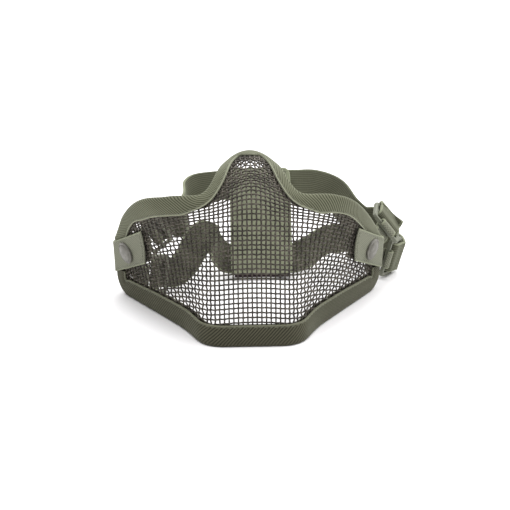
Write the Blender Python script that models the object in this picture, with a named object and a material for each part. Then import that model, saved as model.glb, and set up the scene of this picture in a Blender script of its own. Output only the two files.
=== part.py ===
"""Steel-mesh lower face mask with webbing edges, four buckles and an elastic head harness.

Metres, +Z up. The mask stands on its lower rim: the origin is on the underside of the rim
at the middle of the chin, +Y runs from the chin to the back of the head, and +X is the
wearer's left. Names say left and right as seen from the front, so right is +X.
"""
import math

import bmesh
import bpy
import numpy as np
from mathutils import Vector

MM = 0.001
GAP = 0.3 * MM                     # running gap between touching pieces

# Formed wire sheet. A place on it is (t, b): t runs -1..1 round the face, b is the height
# along the sheet from the lower rim.
LOW_HALF_ARC = 131 * MM            # half the lower rim's length
HIGH_HALF_ARC = 104 * MM           # half the sheet's length at cheek height
CHEEK_HEIGHT = 85 * MM             # height where the cheek plan curve is reached
CHIN_FLAT = 14.5 * MM              # the chin is flat this far from its middle
CHIN_TURN_END = 37 * MM
CHIN_TURN = math.radians(65)
JAW_EASE = (40 * MM, 66 * MM)
JAW_TURN = math.radians(55)
CHEEK_CURVE = (4 * MM, 98 * MM)
CHEEK_TURN = math.radians(58)
SPREAD_POWER = 1.4                 # how late the plan opens from jaw to cheek
CHIN_LEAN = math.radians(13)
NOSE_SLOPE = math.radians(62)
NOSE_BEND = (70 * MM, 92 * MM)
CROWN_LEAN = math.radians(96)
CROWN_BEND = (95 * MM, 112 * MM)
RIDGE_HEIGHT = 11 * MM             # the nose stands this far proud of the cheeks
RIDGE_WIDTH = 17 * MM
RIDGE_RISE = (40 * MM, 88 * MM)

# Upper rim height along the sheet.
CHEEK_RIM = 88 * MM
SIDE_RIM = 40 * MM
CHEEK_RIM_START = 0.28
CHEEK_RIM_POWER = 2.4
CROWN_RISE = 34 * MM
CROWN_WIDTH = 0.195
CROWN_POWER = 3.4

MESH_THICK = 0.8 * MM
FOLD_GAP = 1.0 * MM                # room between the wire sheet and the folded edges
WEB_THICK = 0.9 * MM
FLAP = 12.5 * MM                   # 25 mm webbing folded in half over the rim
JAW_FLAP_EXTRA = 1.5 * MM
FLAP_OUT = MESH_THICK / 2 + FOLD_GAP + WEB_THICK
SIDE_FLAP_LESS = 5 * MM             # the upper strip is cut narrower under the tabs

# Side tabs.
TAB_LENGTH = 36 * MM
TAB_THICK = 0.9 * MM
TAB_REAR = (14 * MM, 37 * MM)      # lower and upper edge at the side rim
TAB_FRONT = (33 * MM, 57 * MM)     # lower and upper edge at the front
TAB_IN = FLAP_OUT + GAP
TAB_OUT = TAB_IN + TAB_THICK
RIVET_T = 0.86
RIVET_B = 34.5 * MM
RIVET_RADIUS = 7 * MM
RIVET_DOME = 2 * MM
RIVET_SHANK = 2 * MM

# Buckles: a flat frame with three bars and two slots.
BUCKLE_LENGTH = 26 * MM
BAR_PITCH = 7.5 * MM
BAR = 2.2 * MM
BUCKLE_THICK = 2.4 * MM
RAIL = 2.4 * MM
STRAP_WIDTH = 20 * MM
STRAP_THICK = 1.4 * MM
KEEPER_WIDTH = 12 * MM
KEEPER_THICK = 1.2 * MM
KEEPER_CLEAR = 0.8 * MM
KEEPER_BEND = {-1: (4 * MM, 6 * MM), 1: (1.5 * MM, 4 * MM)}   # inward and rearward past a tab
STRAP_EYE = 1.9 * MM + STRAP_THICK / 2
KEEPER_EYE = 2.4 * MM + KEEPER_THICK / 2
STRAP_LEAVE = {-1: (4, 7, 10), 1: (5, 10, 15)}   # flat reaches past the bar, by face, in mm

HARNESS_PIVOT = (0, 86 * MM, 36 * MM)   # the harness swings about a line along X here

# Head pad.
PAD_WIDTH = 42 * MM
PAD_HEIGHT = 75 * MM
PAD_LEAN = math.radians(33)
PAD_X = 9 * MM
PAD_FOOT_Y = 100 * MM
PAD_CORNER = 5 * MM
PAD_LAYERS = (("pad_front", 1.4 * MM), ("pad_foam", 4 * MM), ("pad_back", 1.4 * MM))

FINISH = {
    "mesh": ((0.035, 0.030, 0.024), 0.5, 0.6),
    "binding": ((0.075, 0.072, 0.050), 0.9, 0.0),
    "tab": ((0.23, 0.235, 0.185), 0.9, 0.0),
    "rivet": ((0.14, 0.135, 0.115), 0.5, 0.2),
    "buckle": ((0.13, 0.13, 0.10), 0.5, 0.0),
    "elastic": ((0.085, 0.085, 0.060), 0.95, 0.0),
    "pad": ((0.13, 0.135, 0.10), 0.95, 0.0),
    "foam": ((0.05, 0.05, 0.05), 1.0, 0.0),
}


def ease(value, start, end):
    """Rise smoothly from 0 at start to 1 at end."""
    part = np.clip((np.asarray(value, float) - start) / (end - start), 0, 1)
    return part * part * (3 - 2 * part)


ARC = np.linspace(0, 0.16, 1601)


def running_sum(values):
    """Integrate values along ARC."""
    steps = (values[1:] + values[:-1]) / 2 * np.diff(ARC)
    return np.concatenate([[0.0], np.cumsum(steps)])


LOW_ANGLE = (CHIN_TURN * ease(ARC, CHIN_FLAT, CHIN_TURN_END)
             - (CHIN_TURN - JAW_TURN) * ease(ARC, *JAW_EASE))
CHEEK_ANGLE = CHEEK_TURN * ease(ARC, *CHEEK_CURVE)
LEAN = (CHIN_LEAN + (NOSE_SLOPE - CHIN_LEAN) * ease(ARC, *NOSE_BEND)
        + (CROWN_LEAN - NOSE_SLOPE) * ease(ARC, *CROWN_BEND))
LOW_X, LOW_Y = running_sum(np.cos(LOW_ANGLE)), running_sum(np.sin(LOW_ANGLE))
CHEEK_X, CHEEK_Y = running_sum(np.cos(CHEEK_ANGLE)), running_sum(np.sin(CHEEK_ANGLE))
RISE_Y, RISE_Z = running_sum(np.sin(LEAN)), running_sum(np.cos(LEAN))


def sheet_point(t, b):
    """Place (t, b) on the middle of the formed wire sheet."""
    t, b = np.broadcast_arrays(np.asarray(t, float), np.asarray(b, float))
    side = np.abs(t)
    spread = np.clip(b / CHEEK_HEIGHT, 0, 1) ** SPREAD_POWER
    x = (np.interp(side * LOW_HALF_ARC, ARC, LOW_X) * (1 - spread)
         + np.interp(side * HIGH_HALF_ARC, ARC, CHEEK_X) * spread) * np.sign(t)
    back = (np.interp(side * LOW_HALF_ARC, ARC, LOW_Y) * (1 - spread)
            + np.interp(side * HIGH_HALF_ARC, ARC, CHEEK_Y) * spread)
    lean = np.interp(b, ARC, LEAN)
    ridge = (RIDGE_HEIGHT * ease(b, *RIDGE_RISE)
             * np.exp(-(t * HIGH_HALF_ARC / RIDGE_WIDTH) ** 2))
    y = back + np.interp(b, ARC, RISE_Y) - ridge * np.cos(lean)
    z = np.interp(b, ARC, RISE_Z) + ridge * np.sin(lean)
    return np.stack([x, y, z], axis=-1)


def sheet_normal(t, b):
    """Outward normal of the sheet, level at the lower rim so that the rim stands flat."""
    dt, db = 0.004, 0.5 * MM
    across = sheet_point(t + dt, b) - sheet_point(t - dt, b)
    rise = sheet_point(t, b + db) - sheet_point(t, np.maximum(b - db, 0))
    normal = np.cross(across, rise)
    normal /= np.linalg.norm(normal, axis=-1, keepdims=True)
    normal[..., 2] *= ease(b, 0, 15 * MM)
    return normal / np.linalg.norm(normal, axis=-1, keepdims=True)


def on_sheet(t, b, out):
    """Place (t, b), moved out along the sheet's normal."""
    out = np.asarray(out, float)
    return sheet_point(t, b) + sheet_normal(t, b) * out[..., None]


def upper_rim(t):
    """Height of the upper rim along the sheet at t."""
    side = np.abs(np.asarray(t, float))
    fall = np.clip((side - CHEEK_RIM_START) / (1 - CHEEK_RIM_START), 0, None)
    return (CHEEK_RIM - (CHEEK_RIM - SIDE_RIM) * fall ** CHEEK_RIM_POWER
            + CROWN_RISE * np.exp(-(side / CROWN_WIDTH) ** CROWN_POWER))


def material(name):
    """Principled material for one finish."""
    made = bpy.data.materials.get(name)
    if made:
        return made
    color, roughness, metallic = FINISH[name]
    made = bpy.data.materials.new(name)
    made.use_nodes = True
    shader = made.node_tree.nodes["Principled BSDF"]
    shader.inputs["Base Color"].default_value = (*color, 1.0)
    shader.inputs["Roughness"].default_value = roughness
    shader.inputs["Metallic"].default_value = metallic
    return made


def add_object(name, bm, finish, origin=(0, 0, 0), smooth=35, recalc=True):
    """Turn a bmesh into a named object whose origin is at the given place."""
    if recalc:
        bmesh.ops.recalc_face_normals(bm, faces=bm.faces)
    bmesh.ops.translate(bm, verts=bm.verts, vec=-Vector(origin))
    mesh = bpy.data.meshes.new(name)
    bm.to_mesh(mesh)
    bm.free()
    mesh.shade_smooth()
    mesh.set_sharp_from_angle(angle=math.radians(smooth))
    mesh.materials.append(material(finish))
    obj = bpy.data.objects.new(name, mesh)
    obj.location = origin
    bpy.context.collection.objects.link(obj)
    return obj


def cut(obj, cutter):
    """Take a cutter's shape out of an object."""
    modifier = obj.modifiers.new("cut", "BOOLEAN")
    modifier.operation = "DIFFERENCE"
    modifier.solver = "EXACT"
    modifier.object = cutter
    cutter.hide_render = True
    cutter.display_type = "WIRE"


def skin_sections(sections):
    """Join closed sections into one solid with end caps.

    The second half of each section runs back along the first half, so caps are bands of quads.
    """
    bm = bmesh.new()
    rings = [[bm.verts.new(p) for p in ring] for ring in sections]
    count = len(rings[0])
    for low, high in zip(rings, rings[1:]):
        for i in range(count):
            j = (i + 1) % count
            bm.faces.new((low[i], low[j], high[j], high[i]))
    for ring in (rings[0], rings[-1]):
        for i in range(count // 2 - 1):
            bm.faces.new((ring[i], ring[i + 1], ring[count - 2 - i], ring[count - 1 - i]))
    return bm


def slab(grid_out, grid_in):
    """Close two matching grids of points into one solid plate."""
    bm = bmesh.new()
    rows, columns = grid_out.shape[:2]
    out = [[bm.verts.new(grid_out[i, j]) for j in range(columns)] for i in range(rows)]
    inn = [[bm.verts.new(grid_in[i, j]) for j in range(columns)] for i in range(rows)]
    for i in range(rows - 1):
        for j in range(columns - 1):
            bm.faces.new((out[i][j], out[i][j + 1], out[i + 1][j + 1], out[i + 1][j]))
            bm.faces.new((inn[i][j], inn[i + 1][j], inn[i + 1][j + 1], inn[i][j + 1]))
    edge = ([(0, j) for j in range(columns)] + [(i, columns - 1) for i in range(1, rows)]
            + [(rows - 1, j) for j in range(columns - 2, -1, -1)]
            + [(i, 0) for i in range(rows - 2, 0, -1)])
    for (i, j), (k, m) in zip(edge, edge[1:] + edge[:1]):
        bm.faces.new((out[i][j], inn[i][j], inn[k][m], out[k][m]))
    return bm


def make_mesh_shell():
    """The formed wire sheet, trimmed to sit inside the folded edges."""
    inset = WEB_THICK + 1.6 * MM
    t = np.linspace(-1, 1, 65)
    t = 0.996 * np.sign(t) * np.abs(t) ** 1.25
    slope = (upper_rim(t + 0.002) - upper_rim(t - 0.002)) / (0.004 * HIGH_HALF_ARC)
    top = upper_rim(t) - inset * np.sqrt(1 + slope ** 2)
    part = np.linspace(0, 1, 18)[:, None]
    b = inset + (top - inset)[None, :] * part
    t_grid = np.broadcast_to(t, b.shape)
    bm = slab(on_sheet(t_grid, b, np.full(b.shape, MESH_THICK / 2)),
              on_sheet(t_grid, b, np.full(b.shape, -MESH_THICK / 2)))
    return add_object("mesh_shell", bm, "mesh", smooth=60)


def folded_section(flap, steps):
    """Section of a strip folded over an edge: (out, depth) pairs, each flap in some steps."""
    near, far = FLAP_OUT - WEB_THICK, FLAP_OUT
    outer, inner = np.linspace(flap, 0, steps + 1), np.linspace(flap, WEB_THICK, steps + 1)
    outside = [(far, d) for d in outer] + [(-far, d) for d in outer[::-1]]
    inside = [(-near, d) for d in inner] + [(near, d) for d in inner[::-1]]
    return outside + inside


def make_lower_binding():
    """Webbing folded over the lower rim, flat underneath."""
    rings = []
    for t in np.linspace(-1, 1, 75):
        jaw = ease(abs(t), 0.2, 0.4) * (1 - ease(abs(t), 0.6, 0.9))
        section = folded_section(FLAP + JAW_FLAP_EXTRA * jaw, 1)
        rings.append([on_sheet(t, depth, out) for out, depth in section])
    return add_object("lower_binding", skin_sections(rings), "binding", smooth=40)


def upper_rim_path(count):
    """Evenly spaced points of the upper rim in (t, b), with their inward directions."""
    t = np.linspace(-1, 1, 2001)
    across, up = t * HIGH_HALF_ARC, upper_rim(t)
    length = np.concatenate([[0.0], np.cumsum(np.hypot(np.diff(across), np.diff(up)))])
    even = np.linspace(0, length[-1], count)
    t_even = np.interp(even, length, t)
    reach = 0.035
    slope = ((upper_rim(np.minimum(t_even + reach, 1)) - upper_rim(np.maximum(t_even - reach, -1)))
             / ((np.minimum(t_even + reach, 1) - np.maximum(t_even - reach, -1)) * HIGH_HALF_ARC))
    size = np.sqrt(1 + slope ** 2)
    inward = np.stack([slope / size, -1 / size], axis=-1)
    return t_even, upper_rim(t_even), inward


def make_upper_binding():
    """Webbing folded over the upper rim, from side to side over the nose."""
    rings = []
    for t, b, inward in zip(*upper_rim_path(81)):
        ring = []
        flap = FLAP - SIDE_FLAP_LESS * ease(abs(t), 0.72, 0.86)
        for out, depth in folded_section(flap, 3):
            place = (t + inward[0] * depth / HIGH_HALF_ARC, b + inward[1] * depth)
            ring.append(on_sheet(np.clip(place[0], -1, 1), place[1], out))
        rings.append(ring)
    return add_object("upper_binding", skin_sections(rings), "binding", smooth=40)


def tab_place(side, depth, height):
    """Sheet place of a tab point: depth forward of the side rim, height 0..1 up the tab."""
    along = np.clip(depth / TAB_LENGTH, 0, 1)
    low = TAB_REAR[0] + (TAB_FRONT[0] - TAB_REAR[0]) * along
    high = TAB_REAR[1] + (TAB_FRONT[1] - TAB_REAR[1]) * along
    arc = (LOW_HALF_ARC + HIGH_HALF_ARC) / 2
    return side * (1 - depth / arc), low + (high - low) * height


def make_tab(side, name):
    """Fabric tab folded over a side rim and the ends of both edge strips."""
    steps = np.linspace(TAB_LENGTH, 0, 9)
    past = 0.5 * MM + TAB_THICK

    def layer(out):
        """Section line of one face of the folded tab."""
        turn = 0.5 * MM + (past - 0.5 * MM) * (out > TAB_IN)
        line = [(out, d) for d in steps] + [(out * 0.8, -turn), (-out * 0.8, -turn)]
        return line + [(-out, d) for d in steps[::-1]]

    section = layer(TAB_OUT) + layer(TAB_IN)[::-1]
    rings = []
    for height in np.linspace(0, 1, 7):
        ring = []
        for out, depth in section:
            t, b = tab_place(side, max(depth, 0), height)
            place = on_sheet(t, b, out)
            if depth < 0:
                rear = sheet_point(side, b) - sheet_point(side * 0.98, b)
                place = place + rear / np.linalg.norm(rear) * -depth
            ring.append(place)
        rings.append(ring)
    return add_object(name, skin_sections(rings), "tab", smooth=50)


def rivet_frame(side):
    """Centre of a rivet on the sheet and its outward direction."""
    t, b = side * RIVET_T, RIVET_B
    return Vector(sheet_point(t, b)), Vector(sheet_normal(t, b))


def turned(profile, centre, axis, name, finish, segments=20):
    """Solid of revolution: profile of (radius, height) pairs from pole to pole."""
    bm = bmesh.new()
    verts = [bm.verts.new((radius, 0, height)) for radius, height in profile]
    edges = [bm.edges.new(pair) for pair in zip(verts, verts[1:])]
    bmesh.ops.spin(bm, geom=verts + edges, cent=(0, 0, 0), axis=(0, 0, 1), angle=2 * math.pi,
                   steps=segments, use_merge=True)
    bmesh.ops.remove_doubles(bm, verts=bm.verts, dist=1e-6)
    bmesh.ops.rotate(bm, verts=bm.verts, cent=(0, 0, 0),
                     matrix=Vector((0, 0, 1)).rotation_difference(axis).to_matrix())
    bmesh.ops.translate(bm, verts=bm.verts, vec=centre)
    return add_object(name, bm, finish, origin=centre)


def make_rivet(side, word):
    """Domed cap with its shank, and the washer that closes it inside."""
    centre, axis = rivet_frame(side)
    seat = TAB_OUT + GAP + 0.25 * MM
    rim = 0.8 * MM
    cap = [(0, -seat - 1.4 * MM), (RIVET_SHANK, -seat - 1.4 * MM), (RIVET_SHANK, seat),
           (RIVET_RADIUS, seat), (RIVET_RADIUS, seat + rim)]
    for step in range(1, 5):
        angle = step / 5 * math.pi / 2
        cap.append((RIVET_RADIUS * math.cos(angle), seat + rim + (RIVET_DOME - rim) * math.sin(angle)))
    cap.append((0, seat + RIVET_DOME))
    turned(cap, centre, axis, f"{word}_rivet_cap", "rivet")
    bore = RIVET_SHANK + GAP
    washer = [(bore, -seat), (bore, -seat - 1.2 * MM), (5 * MM, -seat - 1.2 * MM),
              (5 * MM, -seat), (bore, -seat)]
    turned(washer, centre, axis, f"{word}_rivet_washer", "rivet")
    hole = RIVET_SHANK + GAP
    drill = [(0, -8 * MM), (hole, -8 * MM), (hole, 8 * MM), (0, 8 * MM)]
    return turned(drill, centre, axis, f"{word}_rivet_drill", "rivet", segments=12)


def unit(values):
    """Unit vector."""
    return Vector(values).normalized()


class BucklePlace:
    """Frame of one buckle: centre, bar direction, strap direction and face direction."""

    def __init__(self, centre, bar, strap):
        self.centre = Vector(centre) * MM
        self.bar = unit(bar)
        along = Vector(strap) - Vector(strap).dot(self.bar) * self.bar
        self.strap = along.normalized()
        self.face = self.bar.cross(self.strap)

    def at(self, bar, strap, face):
        """World place of buckle coordinates given in metres."""
        return self.centre + self.bar * bar + self.strap * strap + self.face * face


BUCKLES = {
    "right_upper": BucklePlace((90, 103, 38.5), (-0.57, -0.08, 0.75), (0.32, 0.93, 0.0)),
    "right_lower": BucklePlace((94, 106, 13.8), (0.25, 0.0, 0.96), (0.55, 0.83, 0.0)),
    "left_upper": BucklePlace((-62, 94, 38.5), (-0.6, 0.2, 0.77), (0.9, 0.35, 0.1)),
    "left_lower": BucklePlace((-60, 81, 13.8), (0.1, 0.05, 0.99), (0.9, 0.3, 0.0)),
}


def make_buckle(name, place):
    """Flat frame with three bars; its origin is on the middle bar, which the strap turns on."""
    half_width = BAR_PITCH + BAR / 2
    bm = bmesh.new()
    bmesh.ops.create_cube(bm, size=1.0)
    bmesh.ops.scale(bm, verts=bm.verts, vec=(BUCKLE_LENGTH, 2 * half_width, BUCKLE_THICK))
    upright = [e for e in bm.edges if abs(e.verts[0].co.z - e.verts[1].co.z) > BUCKLE_THICK / 2]
    bmesh.ops.bevel(bm, geom=upright, offset=2.5 * MM, offset_type="OFFSET", segments=3,
                    profile=0.5, affect="EDGES", material=-1)
    rims = [e for e in bm.edges if abs(e.verts[0].co.z - e.verts[1].co.z) < 1e-6]
    bmesh.ops.bevel(bm, geom=rims, offset=0.5 * MM, offset_type="OFFSET", segments=1,
                    profile=0.5, affect="EDGES", material=-1)
    basis = np.array([place.bar, place.strap, place.face]).T

    def seat(mesh):
        """Turn a mesh from buckle coordinates into place."""
        for vert in mesh.verts:
            vert.co = Vector(basis @ np.array(vert.co)) + place.centre

    seat(bm)
    obj = add_object(name, bm, "buckle", origin=place.centre, recalc=False)
    for side in (-1, 1):
        slot = bmesh.new()
        bmesh.ops.create_cube(slot, size=1.0)
        bmesh.ops.scale(slot, verts=slot.verts,
                        vec=(BUCKLE_LENGTH - 2 * RAIL, BAR_PITCH - BAR, 3 * BUCKLE_THICK))
        bmesh.ops.translate(slot, verts=slot.verts, vec=(0, side * BAR_PITCH / 2, 0))
        seat(slot)
        cut(obj, add_object(f"{name}_slot_{side}", slot, "buckle", origin=place.centre,
                            recalc=False))
    return obj


def smooth_path(points, per_span):
    """Catmull-Rom curve through points."""
    pts = np.asarray(points, float)
    pts = np.vstack([2 * pts[0] - pts[1], pts, 2 * pts[-1] - pts[-2]])
    out = []
    for i in range(1, len(pts) - 2):
        p0, p1, p2, p3 = pts[i - 1:i + 3]
        for s in np.arange(per_span) / per_span:
            out.append(0.5 * (2 * p1 + (p2 - p0) * s + (2 * p0 - 5 * p1 + 4 * p2 - p3) * s ** 2
                              + (3 * p1 - p0 - 3 * p2 + p3) * s ** 3))
    out.append(pts[-2])
    return np.array(out)


def ribbon(name, centre, across, width, thick, finish, origin=(0, 0, 0)):
    """Flat strip along a centre line, across giving its width direction at each point."""
    centre = np.asarray(centre, float)
    along = np.gradient(centre, axis=0)
    along /= np.linalg.norm(along, axis=1, keepdims=True)
    across = np.asarray(across, float)
    across = across - (across * along).sum(1, keepdims=True) * along
    across /= np.linalg.norm(across, axis=1, keepdims=True)
    face = np.cross(along, across)
    half = across * width / 2
    lift = face * thick / 2
    rings = [(c - h - f, c + h - f, c + h + f, c - h + f)
             for c, h, f in zip(centre, half, lift)]
    return add_object(name, skin_sections(rings), finish, origin=origin, smooth=50)


def eye_line(place, bar_offset, radius, heading, face, turn=250):
    """Centre line of a loop round a bar, from its loose end to where it leaves flat.

    heading is +1 when the strip leaves towards the strap side and -1 towards the mask, and
    face is the side of the buckle that it leaves on.
    """
    points = []
    for step in range(15):
        angle = math.radians(turn * (1 - step / 14))
        points.append(place.at(0, bar_offset - heading * radius * math.sin(angle),
                               face * radius * math.cos(angle)))
    return points


# Hand-placed routes in mm: each point with the direction of the strip's width.
STRAP_ROUTES = {
    "right_upper": [((93, 117, 37), (-0.5, 0.0, 0.85)), ((86, 123, 33), (-0.3, 0.0, 0.95)),
                    ((76, 124, 33), (0.25, 0.0, 0.95)), ((67, 126, 40), (0.5, 0.0, 0.85)),
                    ((59, 135, 49), (0.3, 0.2, 0.92)), ((46, 140.5, 53), (0.05, 0.45, 0.88)),
                    ((34, 142.2, 53), (0, 0.545, 0.838)), ((18, 142.2, 53), (0, 0.545, 0.838))],
    "right_lower": [((101, 120, 14), (0.1, 0.0, 0.98)), ((95, 130, 15), (0, 0.0, 0.98)),
                    ((82, 139, 17), (0, 0.05, 0.98)), ((66, 135, 17), (0, 0.1, 0.98)),
                    ((52, 127, 18), (0.05, 0.2, 0.97)), ((40, 117, 14), (0.15, 0.4, 0.9)),
                    ((31, 114.8, 10.5), (0, 0.545, 0.838)), ((18, 114.8, 10.5), (0, 0.545, 0.838))],
    "left_upper": [((-43, 102, 41), (-0.3, 0, 0.95)), ((-41, 115, 46), (-0.1, 0.1, 0.98)),
                   ((-40, 128, 50), (0, 0.25, 0.96)), ((-33, 137, 52.5), (0, 0.4, 0.9)),
                   ((-22, 141, 53), (0, 0.5, 0.86)), ((-15, 142.2, 53), (0, 0.545, 0.838)),
                   ((0, 142.2, 53), (0, 0.545, 0.838))],
    "left_lower": [((-40, 91, 18), (-0.1, 0, 0.98)), ((-34, 95, 28), (-0.3, 0.1, 0.95)),
                   ((-29, 98, 33), (-0.1, 0.3, 0.95)), ((-22.5, 104, 28), (0.1, 0.35, 0.93)),
                   ((-20.5, 110, 20), (0.15, 0.45, 0.88)), ((-16, 114.4, 12.5), (0, 0.5, 0.86)),
                   ((-10, 114.8, 10.5), (0, 0.545, 0.838)), ((0, 114.8, 10.5), (0, 0.545, 0.838))],
}


def make_strap(name, place, route):
    """Elastic strap: looped round the buckle's middle bar, sewn to the back of the pad."""
    face = -1 if place.centre.x > 0 else 1
    loop = eye_line(place, 0.0, STRAP_EYE, 1, face)
    flat = [place.at(0, reach * MM, face * STRAP_EYE) for reach in STRAP_LEAVE[face]]
    free = [np.array(p) * MM for p, _ in route]
    widths = [np.array(w) for _, w in route]
    bar = np.array(place.bar)
    line = smooth_path([np.array(p) for p in flat] + free, 6)
    turn = smooth_path([bar, bar, bar] + widths, 6)
    line = np.vstack([np.array(loop), line])
    turn = np.vstack([np.tile(bar, (len(loop), 1)), turn])
    return ribbon(name, line, turn, STRAP_WIDTH, STRAP_THICK, "elastic", HARNESS_PIVOT)


def make_keeper(name, place, side, height):
    """Short webbing link from inside the tab to the buckle's first bar."""
    out = -(TAB_OUT + KEEPER_CLEAR + KEEPER_THICK / 2)
    roots, ups = [], []
    b = tab_place(side, 0, height)[1]
    for depth in (7 * MM, 4.5 * MM, 2 * MM):
        t = tab_place(side, depth, height)[0]
        roots.append(on_sheet(t, b, out))
        ups.append(sheet_point(t, b + 5 * MM) - sheet_point(t, b - 5 * MM))
    rear = (roots[-1] - roots[0]) / np.linalg.norm(roots[-1] - roots[0])
    inward = -sheet_normal(side, TAB_REAR[0])
    clear = KEEPER_BEND[side]
    roots.append(roots[-1] + inward * clear[0] + rear * clear[1])
    ups.append(ups[-1])
    loop = eye_line(place, -BAR_PITCH, KEEPER_EYE, -1, 1)
    leave = [np.array(place.at(0, -BAR_PITCH - reach * MM, KEEPER_EYE + lift * MM))
             for reach, lift in ((2, 0), (4, 0.6))]
    line = np.vstack([np.array(loop), smooth_path(leave + roots[::-1], 6)])
    bar = np.array(place.bar)
    ups = [up / np.linalg.norm(up) for up in ups[::-1]]
    turn = smooth_path([bar, bar] + ups, 6)
    turn = np.vstack([np.tile(bar, (len(loop), 1)), turn])
    return ribbon(name, line, turn, KEEPER_WIDTH, KEEPER_THICK, "tab")


def make_pad():
    """Head pad: two fabric faces round a foam core, standing on its lower edge."""
    up = Vector((0, math.sin(PAD_LEAN), math.cos(PAD_LEAN)))
    back = Vector((0, math.cos(PAD_LEAN), -math.sin(PAD_LEAN)))
    total = sum(thick for _, thick in PAD_LAYERS) + 2 * GAP
    foot = Vector((PAD_X, PAD_FOOT_Y, total * math.sin(PAD_LEAN)))
    depth = 0.0
    for name, thick in PAD_LAYERS:
        bm = bmesh.new()
        bmesh.ops.create_cube(bm, size=1.0)
        bmesh.ops.scale(bm, verts=bm.verts, vec=(PAD_WIDTH, thick, PAD_HEIGHT))
        corners = [e for e in bm.edges if abs(e.verts[0].co.y - e.verts[1].co.y) > thick / 2]
        bmesh.ops.bevel(bm, geom=corners, offset=PAD_CORNER, offset_type="OFFSET", segments=4,
                        profile=0.5, affect="EDGES", material=-1)
        for vert in bm.verts:
            x, y, z = vert.co
            vert.co = foot + Vector((x, 0, 0)) + up * (z + PAD_HEIGHT / 2) + back * (y + depth + thick / 2)
        add_object(name, bm, "foam" if name == "pad_foam" else "pad", origin=HARNESS_PIVOT)
        depth += thick + GAP


def main():
    """Build every sub-part."""
    for obj in list(bpy.data.objects):
        bpy.data.objects.remove(obj)
    shell = make_mesh_shell()
    make_lower_binding()
    make_upper_binding()
    for side, word in ((-1, "left"), (1, "right")):
        tab = make_tab(side, f"{word}_tab")
        drill = make_rivet(side, word)
        cut(tab, drill)
        cut(shell, drill)
        for level, height in (("upper", 0.81), ("lower", 0.19)):
            key = f"{word}_{level}"
            make_keeper(f"{key}_keeper", BUCKLES[key], side, height)
            make_buckle(f"{key}_buckle", BUCKLES[key])
            make_strap(f"{key}_strap", BUCKLES[key], STRAP_ROUTES[key])
    make_pad()


main()
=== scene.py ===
"""Wire-mesh lower face mask with webbing edges and an elastic head harness, finished for view.

Metres, +Z up. The origin is under the middle of the chin, +Y runs to the back of the head.
Left and right are as seen from the front, so right is +X.
"""
from __future__ import annotations

import logging
import math
from dataclasses import dataclass, field
from enum import Enum
from typing import Callable

import bmesh
import bpy
import numpy as np
from mathutils import Matrix, Vector

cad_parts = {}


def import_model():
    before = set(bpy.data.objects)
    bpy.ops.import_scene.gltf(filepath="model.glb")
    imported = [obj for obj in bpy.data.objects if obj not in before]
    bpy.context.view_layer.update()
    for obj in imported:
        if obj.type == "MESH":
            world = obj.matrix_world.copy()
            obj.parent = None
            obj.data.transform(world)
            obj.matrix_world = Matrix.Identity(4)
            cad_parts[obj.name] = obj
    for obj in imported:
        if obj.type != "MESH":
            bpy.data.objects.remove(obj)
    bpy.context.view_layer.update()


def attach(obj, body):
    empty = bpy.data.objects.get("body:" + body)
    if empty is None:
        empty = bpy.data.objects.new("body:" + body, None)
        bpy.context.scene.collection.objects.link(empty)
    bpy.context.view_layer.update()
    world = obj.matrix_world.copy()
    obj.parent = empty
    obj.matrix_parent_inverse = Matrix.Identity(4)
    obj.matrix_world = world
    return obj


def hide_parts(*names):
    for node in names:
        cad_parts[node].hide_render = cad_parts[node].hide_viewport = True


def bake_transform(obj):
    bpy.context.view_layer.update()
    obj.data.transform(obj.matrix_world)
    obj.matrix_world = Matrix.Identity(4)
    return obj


LOG = logging.getLogger("face_mask")
MM = 0.001
GAP = 0.3 * MM
RIM_SHARES = np.linspace(0, 1, 801)
Color = tuple[float, float, float]
Place = Callable[[np.ndarray, np.ndarray], np.ndarray]


class Side(Enum):
    """The two sides of the mask, as seen from the front."""

    LEFT = -1
    RIGHT = 1

    @property
    def word(self) -> str:
        """The side's name as the parts spell it."""
        return self.name.lower()


class Weave(Enum):
    """How a strip's yarns cross."""

    HERRINGBONE = "herringbone"
    RIBBED = "ribbed"
    CANVAS = "canvas"


def ease(value: np.ndarray | float, start: float, end: float) -> np.ndarray:
    """Rise smoothly from 0 at start to 1 at end."""
    part = np.clip((np.asarray(value, float) - start) / (end - start), 0, 1)
    return part * part * (3 - 2 * part)


def unit(rows: np.ndarray) -> np.ndarray:
    """Scale each row to length 1."""
    return rows / np.linalg.norm(rows, axis=-1, keepdims=True)


# ---------------------------------------------------------------- shader recipes


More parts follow.
